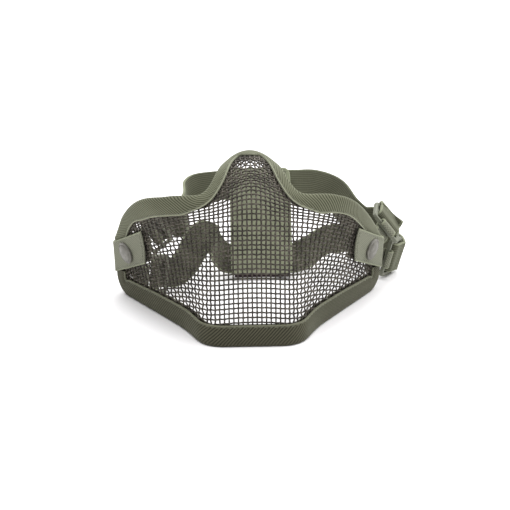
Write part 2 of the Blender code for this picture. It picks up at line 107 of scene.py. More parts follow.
class Signal:
    """A shader value that sums can be written with."""

    def __init__(self, recipe: Recipe, socket: bpy.types.NodeSocket) -> None:
        """Keep the recipe and the socket that carries the value."""
        self.recipe = recipe
        self.socket = socket

    def _math(self, operation: str, first: Signal | float, second: Signal | float) -> Signal:
        """One Math node on two values."""
        return self.recipe.node("ShaderNodeMath", {"operation": operation}, {0: first, 1: second})

    def __add__(self, other: Signal | float) -> Signal:
        """Sum of two values."""
        return self._math("ADD", self, other)

    __radd__ = __add__

    def __mul__(self, other: Signal | float) -> Signal:
        """Product of two values."""
        return self._math("MULTIPLY", self, other)

    __rmul__ = __mul__

    def __sub__(self, other: Signal | float) -> Signal:
        """This value less another."""
        return self._math("SUBTRACT", self, other)

    def __rsub__(self, other: Signal | float) -> Signal:
        """Another value less this one."""
        return self._math("SUBTRACT", other, self)

    def __truediv__(self, other: Signal | float) -> Signal:
        """This value shared by another."""
        return self._math("DIVIDE", self, other)

    def __abs__(self) -> Signal:
        """The value without its sign."""
        return self._math("ABSOLUTE", self, 0.0)

    def least(self, other: Signal | float) -> Signal:
        """The smaller of two values."""
        return self._math("MINIMUM", self, other)

    def sine(self) -> Signal:
        """Sine of the value."""
        return self._math("SINE", self, 0.0)

    def step(self) -> Signal:
        """The whole number below the value."""
        return self._math("FLOOR", self, 0.0)

    def remainder(self) -> Signal:
        """What is left above the whole number."""
        return self._math("FRACT", self, 0.0)

    def ridge(self, pitch: float) -> Signal:
        """Rows of ridges, 0 in the grooves and 1 on the crests, one per pitch."""
        return 1 - abs((self / pitch).remainder() * 2 - 1)

    def rise(self, start: float, end: float) -> Signal:
        """0 below start, 1 above end, smooth between."""
        return self.recipe.node("ShaderNodeMapRange", {"interpolation_type": "SMOOTHSTEP"},
                                {"Value": self, "From Min": start, "From Max": end})


class Recipe:
    """One node material round a Principled shader."""

    def __init__(self, name: str, constants: dict[str, float | tuple[float, ...]]) -> None:
        """Start a material.

        Args:
            name: The material's name.
            constants: Values set straight on the shader's own sockets.
        """
        self.material = bpy.data.materials.new(name)
        self.material.use_nodes = True
        self.tree = self.material.node_tree
        self.shader = self.tree.nodes["Principled BSDF"]
        for key, value in constants.items():
            self.shader.inputs[key].default_value = value

    def node(self, kind: str, settings: dict[str, object] | None = None,
             inputs: dict[int | str, object] | None = None, output: int | str = 0) -> Signal:
        """Add one node.

        Args:
            kind: The node's type.
            settings: Properties of the node, set first.
            inputs: Values or links for its sockets.
            output: Which output to carry on with.

        Returns:
            The chosen output.
        """
        made = self.tree.nodes.new(kind)
        for key, value in (settings or {}).items():
            setattr(made, key, value)
        for key, value in (inputs or {}).items():
            if isinstance(value, Signal):
                self.tree.links.new(value.socket, made.inputs[key])
            else:
                made.inputs[key].default_value = value
        return Signal(self, made.outputs[output])

    def across(self, source: Signal) -> tuple[Signal, Signal, Signal]:
        """The three parts of a vector."""
        return tuple(self.node("ShaderNodeSeparateXYZ", None, {0: source}, axis)
                     for axis in range(3))

    def strip_place(self) -> tuple[Signal, Signal]:
        """Metres along and across a woven strip."""
        along, over, _ = self.across(self.node("ShaderNodeUVMap", {"uv_map": "weave"}))
        return along, over

    def object_place(self, turn: tuple[float, float, float] = (0, 0, 0)) -> Signal:
        """Metres on the object itself, turned if asked."""
        place = self.node("ShaderNodeTexCoord", None, None, "Object")
        return self.node("ShaderNodeMapping", None, {"Vector": place, "Rotation": turn})

    def grain(self, place: Signal, size: float, detail: float = 2.0) -> Signal:
        """Soft random patches, 0 to 1, about size metres across."""
        return self.node("ShaderNodeTexNoise", None,
                         {"Vector": place, "Scale": 1 / size, "Detail": detail}, 0)

    def tint(self, share: Signal, low: Color | Signal, high: Color | Signal) -> Signal:
        """Colour between two, by share.

        Args:
            share: 0 for the low colour, 1 for the high one.
            low: First colour.
            high: Second colour.

        Returns:
            The mixed colour.
        """
        made = self.tree.nodes.new("ShaderNodeMix")
        made.data_type = "RGBA"
        self.tree.links.new(share.socket, made.inputs["Factor"])
        for index, value in ((6, low), (7, high)):
            if isinstance(value, Signal):
                self.tree.links.new(value.socket, made.inputs[index])
            else:
                made.inputs[index].default_value = (*value, 1.0)
        return Signal(self, made.outputs[2])

    def finish(self, color: Signal, roughness: Signal | None, height: Signal,
               depth: float) -> bpy.types.Material:
        """Feed the shader.

        Args:
            color: Base colour.
            roughness: Roughness, if it changes over the surface.
            height: Relief, 0 to 1.
            depth: Height of the relief in metres.

        Returns:
            The finished material.
        """
        self.tree.links.new(color.socket, self.shader.inputs["Base Color"])
        if roughness is not None:
            self.tree.links.new(roughness.socket, self.shader.inputs["Roughness"])
        normal = self.node("ShaderNodeBump", None, {"Height": height, "Distance": depth,
                                                    "Strength": 1.0})
        self.tree.links.new(normal.socket, self.shader.inputs["Normal"])
        return self.material


@dataclass(frozen=True)
class Webbing:
    """Woven strip: its yarns and colours."""

    name: str
    weave: Weave
    low: Color
    high: Color
    width: float
    pitch: float
    column: float = 13.1 * MM
    selvedge: float = 1.1 * MM
    relief: float = 0.14 * MM
    sheen: float = 0.25
    # Colour the strip's edges blend to: a painted highlight along the raised selvedge.
    rim: Color = (0.24, 0.255, 0.175)

    def pattern(self, along: Signal, over: Signal) -> Signal:
        """Relief of the yarns, 0 in the gaps and 1 on the crowns.

        Args:
            along: Metres along the strip.
            over: Metres across it.

        Returns:
            The relief.
        """
        if self.weave is Weave.HERRINGBONE:
            lean = 1 - (over / self.column * 0.5).remainder().rise(0.499, 0.501) * 2
            return (along + lean * over).ridge(self.pitch)
        if self.weave is Weave.RIBBED:
            cross = along.ridge(self.pitch * 0.7)
            return over.ridge(self.pitch) * 0.75 + cross * 0.25
        checks = (along * (math.pi / self.pitch)).sine() * (over * (math.pi / self.pitch)).sine()
        return checks * 0.5 + 0.5

    def make(self) -> bpy.types.Material:
        """Build the material.

        Returns:
            The webbing material.
        """
        recipe = Recipe(self.name, {"Roughness": 0.9, "Sheen Weight": self.sheen,
                                    "Sheen Roughness": 0.45, "Sheen Tint": (0.75, 0.8, 0.62, 1),
                                    "Specular IOR Level": 0.25})
        along, over = recipe.strip_place()
        yarn = self.pattern(along, over)
        place = recipe.object_place()
        patches = recipe.grain(place, 14 * MM)
        fuzz = recipe.grain(place, 0.7 * MM, 3.0)
        # Both edges blend towards the rim colour as a painted highlight on the raised selvedge.
        # The edge also lifts the relief below.
        edge = 1 - over.least(self.width - over).rise(self.selvedge * 0.6, self.selvedge)
        share = yarn.rise(0.05, 0.75) * 0.75 + patches * 0.2 + fuzz * 0.25 - 0.05
        body = recipe.tint(share, self.low, self.high)
        color = recipe.tint(edge * 0.8, body, self.rim)
        height = yarn * 0.8 + edge * 0.5 + fuzz * 0.2
        return recipe.finish(color, 0.86 + fuzz * 0.12, height, self.relief)


@dataclass(frozen=True)
class Thread:
    """Twisted sewing thread."""

    name: str = "olive_thread"
    low: Color = (0.080, 0.084, 0.055)
    high: Color = (0.200, 0.206, 0.145)

    def make(self) -> bpy.types.Material:
        """Build the material.

        Returns:
            The thread material.
        """
        recipe = Recipe(self.name, {"Sheen Weight": 0.3, "Specular IOR Level": 0.35})
        place = recipe.object_place((0.6, 0.5, 0.8))
        over, _, up = recipe.across(place)
        twist = (over + up).ridge(0.45 * MM)
        fuzz = recipe.grain(place, 0.4 * MM, 3.0)
        color = recipe.tint(twist * 0.6 + fuzz * 0.4, self.low, self.high)
        return recipe.finish(color, 0.7 + fuzz * 0.2, twist, 0.06 * MM)


@dataclass(frozen=True)
class WirePaint:
    """Dark dipped paint on steel wire, lighter in random patches and specks that are partly paint
    worn thin and partly a painted highlight.
    """

    name: str = "wire_paint"
    paint: Color = (0.045, 0.038, 0.030)
    # Lighter colour of the patches and specks: partly worn steel, and partly a painted highlight
    # that stands in for the glints the wires catch from the top light.
    worn: Color = (0.170, 0.152, 0.120)

    def make(self) -> bpy.types.Material:
        """Build the material.

        Returns:
            The wire paint.
        """
        recipe = Recipe(self.name, {"Metallic": 0.5, "Specular IOR Level": 0.6})
        place = recipe.object_place()
        patches = recipe.grain(place, 9 * MM)
        speck = recipe.grain(place, 0.5 * MM, 3.0)
        # Random patches and specks take the lighter colour: partly wear, partly painted glints.
        share = patches.rise(0.35, 0.7) * 0.5 + speck.rise(0.5, 0.75) * 0.5
        color = recipe.tint(share, self.paint, self.worn)
        return recipe.finish(color, 0.38 + speck * 0.25, speck, 0.03 * MM)


@dataclass(frozen=True)
class CapPaint:
    """Painted steel of the rivets, rubbed bare in spots."""

    name: str = "rivet_paint"
    paint: Color = (0.125, 0.120, 0.100)
    worn: Color = (0.21, 0.205, 0.18)

    def make(self) -> bpy.types.Material:
        """Build the material.

        Returns:
            The rivet paint.
        """
        recipe = Recipe(self.name, {"Metallic": 0.2, "Coat Roughness": 0.4})
        place = recipe.object_place()
        patches = recipe.grain(place, 3 * MM)
        speck = recipe.grain(place, 0.35 * MM, 3.0)
        share = patches.rise(0.45, 0.65) * 0.6 + speck * 0.3
        color = recipe.tint(share, self.paint, self.worn)
        return recipe.finish(color, 0.42 + speck * 0.2, speck, 0.03 * MM)


@dataclass(frozen=True)
class MouldedNylon:
    """Moulded plastic of the buckles, with a fine spark grain."""

    name: str = "moulded_nylon"
    low: Color = (0.130, 0.137, 0.098)
    high: Color = (0.205, 0.212, 0.160)

    def make(self) -> bpy.types.Material:
        """Build the material.

        Returns:
            The nylon.
        """
        recipe = Recipe(self.name, {"Specular IOR Level": 0.45})
        place = recipe.object_place()
        patches = recipe.grain(place, 6 * MM)
        spark = recipe.grain(place, 0.3 * MM, 2.0)
        color = recipe.tint(patches * 0.6 + spark * 0.4, self.low, self.high)
        return recipe.finish(color, 0.42 + spark * 0.22, spark, 0.025 * MM)


@dataclass(frozen=True)
class PadCloth:
    """Brushed knit of the head pad. Its rows run with the leaning pad."""

    lean: float
    name: str = "pad_cloth"
    low: Color = (0.160, 0.172, 0.112)
    high: Color = (0.330, 0.350, 0.240)
    pitch: float = 1.1 * MM

    def make(self) -> bpy.types.Material:
        """Build the material.

        Returns:
            The pad cloth.
        """
        recipe = Recipe(self.name, {"Sheen Weight": 0.35, "Sheen Roughness": 0.5,
                                    "Sheen Tint": (0.75, 0.8, 0.62, 1),
                                    "Specular IOR Level": 0.2})
        place = recipe.object_place((self.lean, 0, 0))
        over, _, up = recipe.across(place)
        turns = math.pi * 2 / self.pitch
        loops = (over * turns).sine() * (up * turns).sine() * 0.5 + 0.5
        patches = recipe.grain(place, 12 * MM)
        fuzz = recipe.grain(place, 0.6 * MM, 3.0)
        share = loops * 0.35 + patches * 0.4 + fuzz * 0.3
        color = recipe.tint(share, self.low, self.high)
        return recipe.finish(color, 0.88 + fuzz * 0.1, loops * 0.6 + fuzz * 0.6, 0.12 * MM)


@dataclass(frozen=True)
class OpenFoam:
    """Dark open-cell foam."""

    name: str = "open_foam"
    low: Color = (0.012, 0.008, 0.010)
    high: Color = (0.055, 0.036, 0.042)

    def make(self) -> bpy.types.Material:
        """Build the material.

        Returns:
            The foam.
        """
        recipe = Recipe(self.name, {"Specular IOR Level": 0.1})
        cells = recipe.node("ShaderNodeTexVoronoi", None,
                            {"Vector": recipe.object_place(), "Scale": 1 / (0.5 * MM)})
        color = recipe.tint(cells, self.low, self.high)
        return recipe.finish(color, 0.9 + cells * 0.1, cells, 0.2 * MM)


# ---------------------------------------------------------------- mesh makers


def shown(name: str, bm: bmesh.types.BMesh, finish: bpy.types.Material,
          sharp: float = 50) -> bpy.types.Object:
    """Turn a bmesh into a piece at the origin.

    Args:
        name: The piece's name.
        bm: Its shape, used up here.
        finish: Its material.
        sharp: Edges bent by more than this many degrees stay crisp.

    Returns:
        The new object.
    """
    mesh = bpy.data.meshes.new(name)
    bm.to_mesh(mesh)
    bm.free()
    mesh.shade_smooth()
    mesh.set_sharp_from_angle(angle=math.radians(sharp))
    mesh.materials.append(finish)
    piece = bpy.data.objects.new(name, mesh)
    bpy.context.collection.objects.link(piece)
    return piece


def settle(piece: bpy.types.Object) -> None:
    """Make a piece's modifiers part of its mesh.

    Args:
        piece: The piece to settle.
    """
    bpy.context.view_layer.update()
    seen = piece.evaluated_get(bpy.context.evaluated_depsgraph_get())
    mesh = bpy.data.meshes.new_from_object(seen)
    piece.modifiers.clear()
    piece.data = mesh


def move_all(bm: bmesh.types.BMesh, places: np.ndarray) -> None:
    """Put every vertex at its row of places."""
    for vert, place in zip(bm.verts, places):
        vert.co = place


def rest_places(bm: bmesh.types.BMesh) -> np.ndarray:
    """Every vertex's place as a row."""
    return np.array([vert.co[:] for vert in bm.verts])


def woven_strip(name: str, size: tuple[float, float], cells: tuple[int, int], place: Place,
                thick: float, finish: bpy.types.Material) -> bpy.types.Object:
    """Lay a flat strip into place and give it thickness.

    Args:
        name: The piece's name.
        size: Metres along and across.
        cells: Faces along and across.
        place: Turns shares along and across, 0 to 1, into points.
        thick: Thickness in metres.
        finish: Its material.

    Returns:
        The strip, with its weave map in metres.
    """
    bm = bmesh.new()
    bmesh.ops.create_grid(bm, x_segments=cells[0], y_segments=cells[1], size=0.5)
    weave = bm.loops.layers.uv.new("weave")
    for face in bm.faces:
        for loop in face.loops:
            flat = loop.vert.co
            loop[weave].uv = ((flat.x + 0.5) * size[0], (flat.y + 0.5) * size[1])
    flat_places = rest_places(bm)
    move_all(bm, place(flat_places[:, 0] + 0.5, flat_places[:, 1] + 0.5))
    piece = shown(name, bm, finish)
    wall = piece.modifiers.new("thickness", "SOLIDIFY")
    wall.thickness = thick
    wall.offset = 0
    soft = piece.modifiers.new("soft_edges", "BEVEL")
    soft.width = thick * 0.3
    soft.segments = 2
    soft.angle_limit = math.radians(60)
    settle(piece)
    return piece


def drawn_wires(name: str, runs: list[tuple[np.ndarray, np.ndarray]], radius: float,
                finish: bpy.types.Material) -> bpy.types.Object:
    """Draw round wires along their runs as one piece.

    Args:
        name: The piece's name.
        runs: Each wire's centre points and outward directions.
        radius: Wire radius.
        finish: Its material.

    Returns:
        The new object.
    """
    whole = bmesh.new()
    carrier = bpy.data.meshes.new("wire")
    for centre, out in runs:
        wire = bmesh.new()
        bmesh.ops.create_cone(wire, cap_ends=True, segments=6, radius1=1, radius2=1, depth=1)
        sides = [e for e in wire.edges if abs(e.verts[0].co.z - e.verts[1].co.z) > 0.5]
        bmesh.ops.subdivide_edges(wire, edges=sides, cuts=len(centre) - 2, use_grid_fill=True)
        flat = rest_places(wire)
        row = np.rint((flat[:, 2] + 0.5) * (len(centre) - 1)).astype(int)
        along = unit(np.gradient(centre, axis=0))
        over = unit(np.cross(along, out))
        lift = np.cross(over, along)
        move_all(wire, centre[row] + radius * (over[row] * flat[:, :1] + lift[row] * flat[:, 1:2]))
        bmesh.ops.recalc_face_normals(wire, faces=wire.faces)
        wire.to_mesh(carrier)
        wire.free()
        whole.from_mesh(carrier)
    bpy.data.meshes.remove(carrier)
    return shown(name, whole, finish, 180)


def stitches(name: str, rows: list[tuple[np.ndarray, np.ndarray]], finish: bpy.types.Material,
             long: float = 2.3 * MM, radius: float = 0.2 * MM) -> bpy.types.Object:
    """Lay short stitches along rows as one piece.

    Args:
        name: The piece's name.
        rows: Each row's stitch centres, in order, and the outward direction at each.
        finish: Thread material.
        long: Length of one stitch.
        radius: Thread radius.

    Returns:
        The new object.
    """
    bm = bmesh.new()
    for centres, outs in rows:
        along = unit(np.gradient(centres, axis=0))
        over = unit(np.cross(outs, along))
        lift = np.cross(along, over)
        for centre, x, y, z in zip(centres, along, over, lift):
            turn = Matrix((x * long / 2, y * radius, z * radius)).transposed().to_4x4()
            bmesh.ops.create_uvsphere(bm, u_segments=6, v_segments=5, radius=1,
                                      matrix=Matrix.Translation(centre) @ turn
                                      @ Matrix.Rotation(math.pi / 2, 4, "Y"))
    bmesh.ops.recalc_face_normals(bm, faces=bm.faces)
    return shown(name, bm, finish, 180)


def turned_disc(name: str, profile: list[tuple[float, float]], centre: Vector, axis: Vector,
                finish: bpy.types.Material) -> bpy.types.Object:
    """Turn a profile of (radius, height) pairs round an axis.

    Args:
        name: The piece's name.
        profile: Pairs from end to end; a closed profile makes a ring.
        centre: Where radius 0, height 0 goes.
        axis: The direction of height.
        finish: Its material.

    Returns:
        The new object.
    """
    bm = bmesh.new()
    verts = [bm.verts.new((radius, 0, height)) for radius, height in profile]
    edges = [bm.edges.new(pair) for pair in zip(verts, verts[1:])]
    bmesh.ops.spin(bm, geom=verts + edges, cent=(0, 0, 0), axis=(0, 0, 1), angle=2 * math.pi,
                   steps=64, use_merge=True)
    bmesh.ops.remove_doubles(bm, verts=bm.verts, dist=1e-6)
    bmesh.ops.recalc_face_normals(bm, faces=bm.faces)
    turn = Vector((0, 0, 1)).rotation_difference(axis).to_matrix()
    bmesh.ops.rotate(bm, verts=bm.verts, cent=(0, 0, 0), matrix=turn)
    bmesh.ops.translate(bm, verts=bm.verts, vec=centre)
    return shown(name, bm, finish, 40)


# ---------------------------------------------------------------- the formed sheet


ARC = np.linspace(0, 0.16, 1601)


def running_sum(values: np.ndarray) -> np.ndarray:
    """Add values up along ARC."""
    steps = (values[1:] + values[:-1]) / 2 * np.diff(ARC)
    return np.concatenate([[0.0], np.cumsum(steps)])


@dataclass
class MaskForm:
    """The shape the wire sheet is pressed to.

    A place on it is (t, b): t runs -1..1 round the face, b is metres up from the lower rim.
    """

    low_half_arc: float = 131 * MM
    high_half_arc: float = 104 * MM
    cheek_height: float = 85 * MM
    chin_turn: float = math.radians(65)
    jaw_turn: float = math.radians(55)
    cheek_turn: float = math.radians(58)
    chin_flat: tuple[float, float] = (14.5 * MM, 37 * MM)
    jaw_ease: tuple[float, float] = (40 * MM, 66 * MM)
    cheek_curve: tuple[float, float] = (4 * MM, 98 * MM)
    spread_power: float = 1.4
    leans: tuple[float, float, float] = (math.radians(13), math.radians(62), math.radians(96))
    nose_bend: tuple[float, float] = (70 * MM, 92 * MM)
    crown_bend: tuple[float, float] = (95 * MM, 112 * MM)
    ridge: tuple[float, float] = (11 * MM, 17 * MM)
    ridge_rise: tuple[float, float] = (40 * MM, 88 * MM)
    cheek_rim: float = 88 * MM
    side_rim: float = 40 * MM
    crown_rise: float = 35.5 * MM
    corner: float = 13 * MM
    sway: tuple[float, float] = (4.5 * MM, -3.5 * MM)
    curves: dict[str, np.ndarray] = field(init=False)

    def __post_init__(self) -> None:
        """Work out the plan and profile curves."""
        low = (self.chin_turn * ease(ARC, *self.chin_flat)
               - (self.chin_turn - self.jaw_turn) * ease(ARC, *self.jaw_ease))
        cheek = self.cheek_turn * ease(ARC, *self.cheek_curve)
        chin, nose, crown = self.leans
        lean = (chin + (nose - chin) * ease(ARC, *self.nose_bend)
                + (crown - nose) * ease(ARC, *self.crown_bend))
        self.curves = {"low_x": running_sum(np.cos(low)), "low_y": running_sum(np.sin(low)),
                       "cheek_x": running_sum(np.cos(cheek)),
                       "cheek_y": running_sum(np.sin(cheek)), "lean": lean,
                       "rise_y": running_sum(np.sin(lean)), "rise_z": running_sum(np.cos(lean))}

    def read(self, curve: str, arc: np.ndarray) -> np.ndarray:
        """A curve's value at each distance."""
        return np.interp(arc, ARC, self.curves[curve])

    def spread(self, b: np.ndarray) -> np.ndarray:
        """How far the plan has opened from jaw to cheek."""
        return np.clip(b / self.cheek_height, 0, 1) ** self.spread_power

    def half_arc(self, b: np.ndarray) -> np.ndarray:
        """Half the sheet's length at height b."""
        spread = self.spread(b)
        return self.low_half_arc * (1 - spread) + self.high_half_arc * spread

    def point(self, t: np.ndarray, b: np.ndarray) -> np.ndarray:
        """Place (t, b) on the middle of the sheet.

        Args:
            t: Share round the face, -1 to 1.
            b: Metres up from the lower rim.

        Returns:
            The points.
        """
        t, b = np.broadcast_arrays(np.asarray(t, float), np.asarray(b, float))
        side, spread = np.abs(t), self.spread(b)
        low, high = side * self.low_half_arc, side * self.high_half_arc
        x = self.read("low_x", low) * (1 - spread) + self.read("cheek_x", high) * spread
        back = self.read("low_y", low) * (1 - spread) + self.read("cheek_y", high) * spread
        lean = self.read("lean", b)
        proud = (self.ridge[0] * ease(b, *self.ridge_rise)
                 * np.exp(-(t * self.high_half_arc / self.ridge[1]) ** 2))
        y = back + self.read("rise_y", b) - proud * np.cos(lean)
        return np.stack([x * np.sign(t), y, self.read("rise_z", b) + proud * np.sin(lean)], -1)

    def normal(self, t: np.ndarray, b: np.ndarray) -> np.ndarray:
        """Outward direction, level at the lower rim so that the rim stands flat.

        Args:
            t: Share round the face.
            b: Metres up from the lower rim.

        Returns:
            The directions.
        """
        dt, db = 0.004, 0.5 * MM
        across = self.point(t + dt, b) - self.point(t - dt, b)
        rise = self.point(t, b + db) - self.point(t, np.maximum(b - db, 0))
        normal = unit(np.cross(across, rise))
        normal[..., 2] *= ease(b, 0, 15 * MM)
        return unit(normal)

    def place(self, t: np.ndarray, b: np.ndarray, out: np.ndarray | float) -> np.ndarray:
        """Place (t, b), moved out from the sheet."""
        t, b, out = np.broadcast_arrays(np.asarray(t, float), b, out)
        return self.point(t, b) + self.normal(t, b) * out[..., None]

    def upper_rim(self, t: np.ndarray) -> np.ndarray:
        """Height of the upper rim, with the set of a mask bent by use.

        Args:
            t: Share round the face.

        Returns:
            Metres up from the lower rim.
        """
        side = np.abs(np.asarray(t, float))
        fall = np.clip((side - 0.28) / 0.72, 0, None)
        left, right = (ease(way * np.asarray(t, float), 0.45, 0.85) for way in (-1, 1))
        left = left * (1 - ease(side, 0.88, 1))
        return (self.cheek_rim - (self.cheek_rim - self.side_rim) * fall ** 2.4
                + self.crown_rise * np.exp(-(side / 0.2) ** 3.8)
                + self.sway[0] * left + self.sway[1] * right)

    def lower_rim(self, t: np.ndarray) -> np.ndarray:
        """Height of the lower rim at t: flat, with rounded lower corners."""
        into = np.clip(self.corner - (1 - np.abs(t)) * self.low_half_arc, 0, self.corner)
        return self.corner - np.sqrt(self.corner ** 2 - into ** 2)


# ---------------------------------------------------------------- sub-assemblies


@dataclass
class WireSheet:
    """The woven steel mesh: upright wires and level wires that pass over and under."""

    form: MaskForm
    finish: bpy.types.Material
    warp_pitch: float = 2.72 * MM
    weft_pitch: float = 2.87 * MM
    radius: float = 0.52 * MM
    inset: float = 2.5 * MM
    samples: int = 4
    fall: tuple[float, float] = (46 * MM, 2.0)
    nose_start: float = 76 * MM
    nose_share: float = 0.62
    side_start: float = 28 * MM
    side_share: float = 1.45
    edge: float = 0.98
    shortest: int = 6

    def drop(self, t: np.ndarray) -> np.ndarray:
        """How far the level wires have dropped towards the sides."""
        return self.fall[0] * np.abs(t) ** self.fall[1]

    def wire_arc(self, number: int) -> float:
        """Distance round the sheet of an upright wire, where the pressing opens the sides.

        Args:
            number: Wires from the middle, less than 0 on the left.

        Returns:
            Metres from the middle.
        """
        arc = abs(number) * self.warp_pitch
        beyond = max(arc - self.side_start, 0)
        return math.copysign(arc + beyond * (self.side_share - 1), number)

    def wire_at(self, arc: np.ndarray) -> np.ndarray:
        """Number of the upright wire at a distance round the sheet, whole or part.

        Args:
            arc: Metres from the middle.

        Returns:
            Wires from the middle.
        """
        beyond = np.maximum(np.abs(arc) - self.side_start, 0)
        flat = np.abs(arc) - beyond * (1 - 1 / self.side_share)
        return np.sign(arc) * flat / self.warp_pitch

    def row_height(self, row: np.ndarray | float) -> np.ndarray:
        """Height of a level wire in the middle, where the pressing crowds the nose rows.

        Args:
            row: Wires up from the lower rim.

        Returns:
            Metres up from the lower rim.
        """
        height = self.inset + np.asarray(row) * self.weft_pitch
        above = np.maximum(height - self.nose_start, 0)
        return height - above * (1 - self.nose_share)

    def row_at(self, height: np.ndarray) -> np.ndarray:
        """Number of the level wire at a height in the middle, whole or part."""
        above = np.maximum(height - self.nose_start, 0)
        return (height + above * (1 / self.nose_share - 1) - self.inset) / self.weft_pitch

    def foot(self, t: np.ndarray) -> np.ndarray:
        """Where the wires end inside the lower fold.

        Args:
            t: Share round the face.

        Returns:
            Metres up from the lower rim.
        """
        slope = ((self.form.lower_rim(t + 0.002) - self.form.lower_rim(t - 0.002))
                 / (0.004 * self.form.low_half_arc))
        return self.form.lower_rim(t) + self.inset * np.sqrt(1 + np.minimum(slope ** 2, 20))

    def top(self, t: np.ndarray) -> np.ndarray:
        """Where the wires end inside the upper fold.

        Args:
            t: Share round the face.

        Returns:
            Metres up from the lower rim.
        """
        slope = ((self.form.upper_rim(t + 0.002) - self.form.upper_rim(t - 0.002))
                 / (0.004 * self.form.high_half_arc))
        return self.form.upper_rim(t) - self.inset * np.sqrt(1 + slope ** 2)

    def run(self, t: np.ndarray, b: np.ndarray, out: np.ndarray) -> tuple[np.ndarray, np.ndarray]:
        """Centre line and outward directions of one wire."""
        return self.form.place(t, b, out), self.form.normal(t, b)

    def warp(self) -> list[tuple[np.ndarray, np.ndarray]]:
        """Upright wires, each at a fixed distance from the middle.

        Returns:
            Each wire's centre line and outward directions.
        """
        runs = []
        count = int(self.form.low_half_arc / self.warp_pitch)
        trial = np.arange(self.inset, 0.125, self.weft_pitch / self.samples)
        for number in range(-count, count + 1):
            t = self.wire_arc(number) / self.form.half_arc(trial)
            inside = (np.abs(t) < self.edge) & (trial < self.top(t)) & (trial >= self.foot(t))
            spots = np.flatnonzero(inside)
            if len(spots) < self.shortest:
                continue
            b, t = trial[spots[0]:spots[-1] + 1], t[spots[0]:spots[-1] + 1]
            wave = np.cos(math.pi * (self.row_at(b + self.drop(t)) + number))
            runs.append(self.run(t, b, self.radius * wave))
        return runs

    def weft(self) -> list[tuple[np.ndarray, np.ndarray]]:
        """Level wires from side to side, cut where they leave the sheet.

        Returns:
            Each wire's centre line and outward directions.
        """
        runs = []
        trial = np.linspace(-self.edge, self.edge, 1601)
        for number in range(1, 70):
            b = self.row_height(number) - self.drop(trial)
            inside = (b > self.foot(trial)) & (b < self.top(trial))
            edges = np.flatnonzero(np.diff(np.concatenate([[False], inside, [False]])))
            for first, last in zip(edges[::2], edges[1::2] - 1):
                if last - first < 24:
                    continue
                ends = trial[[first, last]] * self.form.half_arc(b[[first, last]])
                count = max(8, int(np.ptp(ends) / self.warp_pitch * self.samples))
                t = np.linspace(trial[first], trial[last], count)
                b_run = self.row_height(number) - self.drop(t)
                wires = self.wire_at(t * self.form.half_arc(b_run))
                wave = -np.cos(math.pi * (wires + number))
                runs.append(self.run(t, b_run, self.radius * wave))
        return runs

    def build(self) -> None:
        """Draw both sets of wires."""
        for name, runs in (("upright_wires", self.warp()), ("level_wires", self.weft())):
            piece = drawn_wires(name, runs, self.radius, self.finish)
            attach(piece, "mask")
            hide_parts("mesh_shell")
            LOG.info("%s: %d wires", name, len(runs))


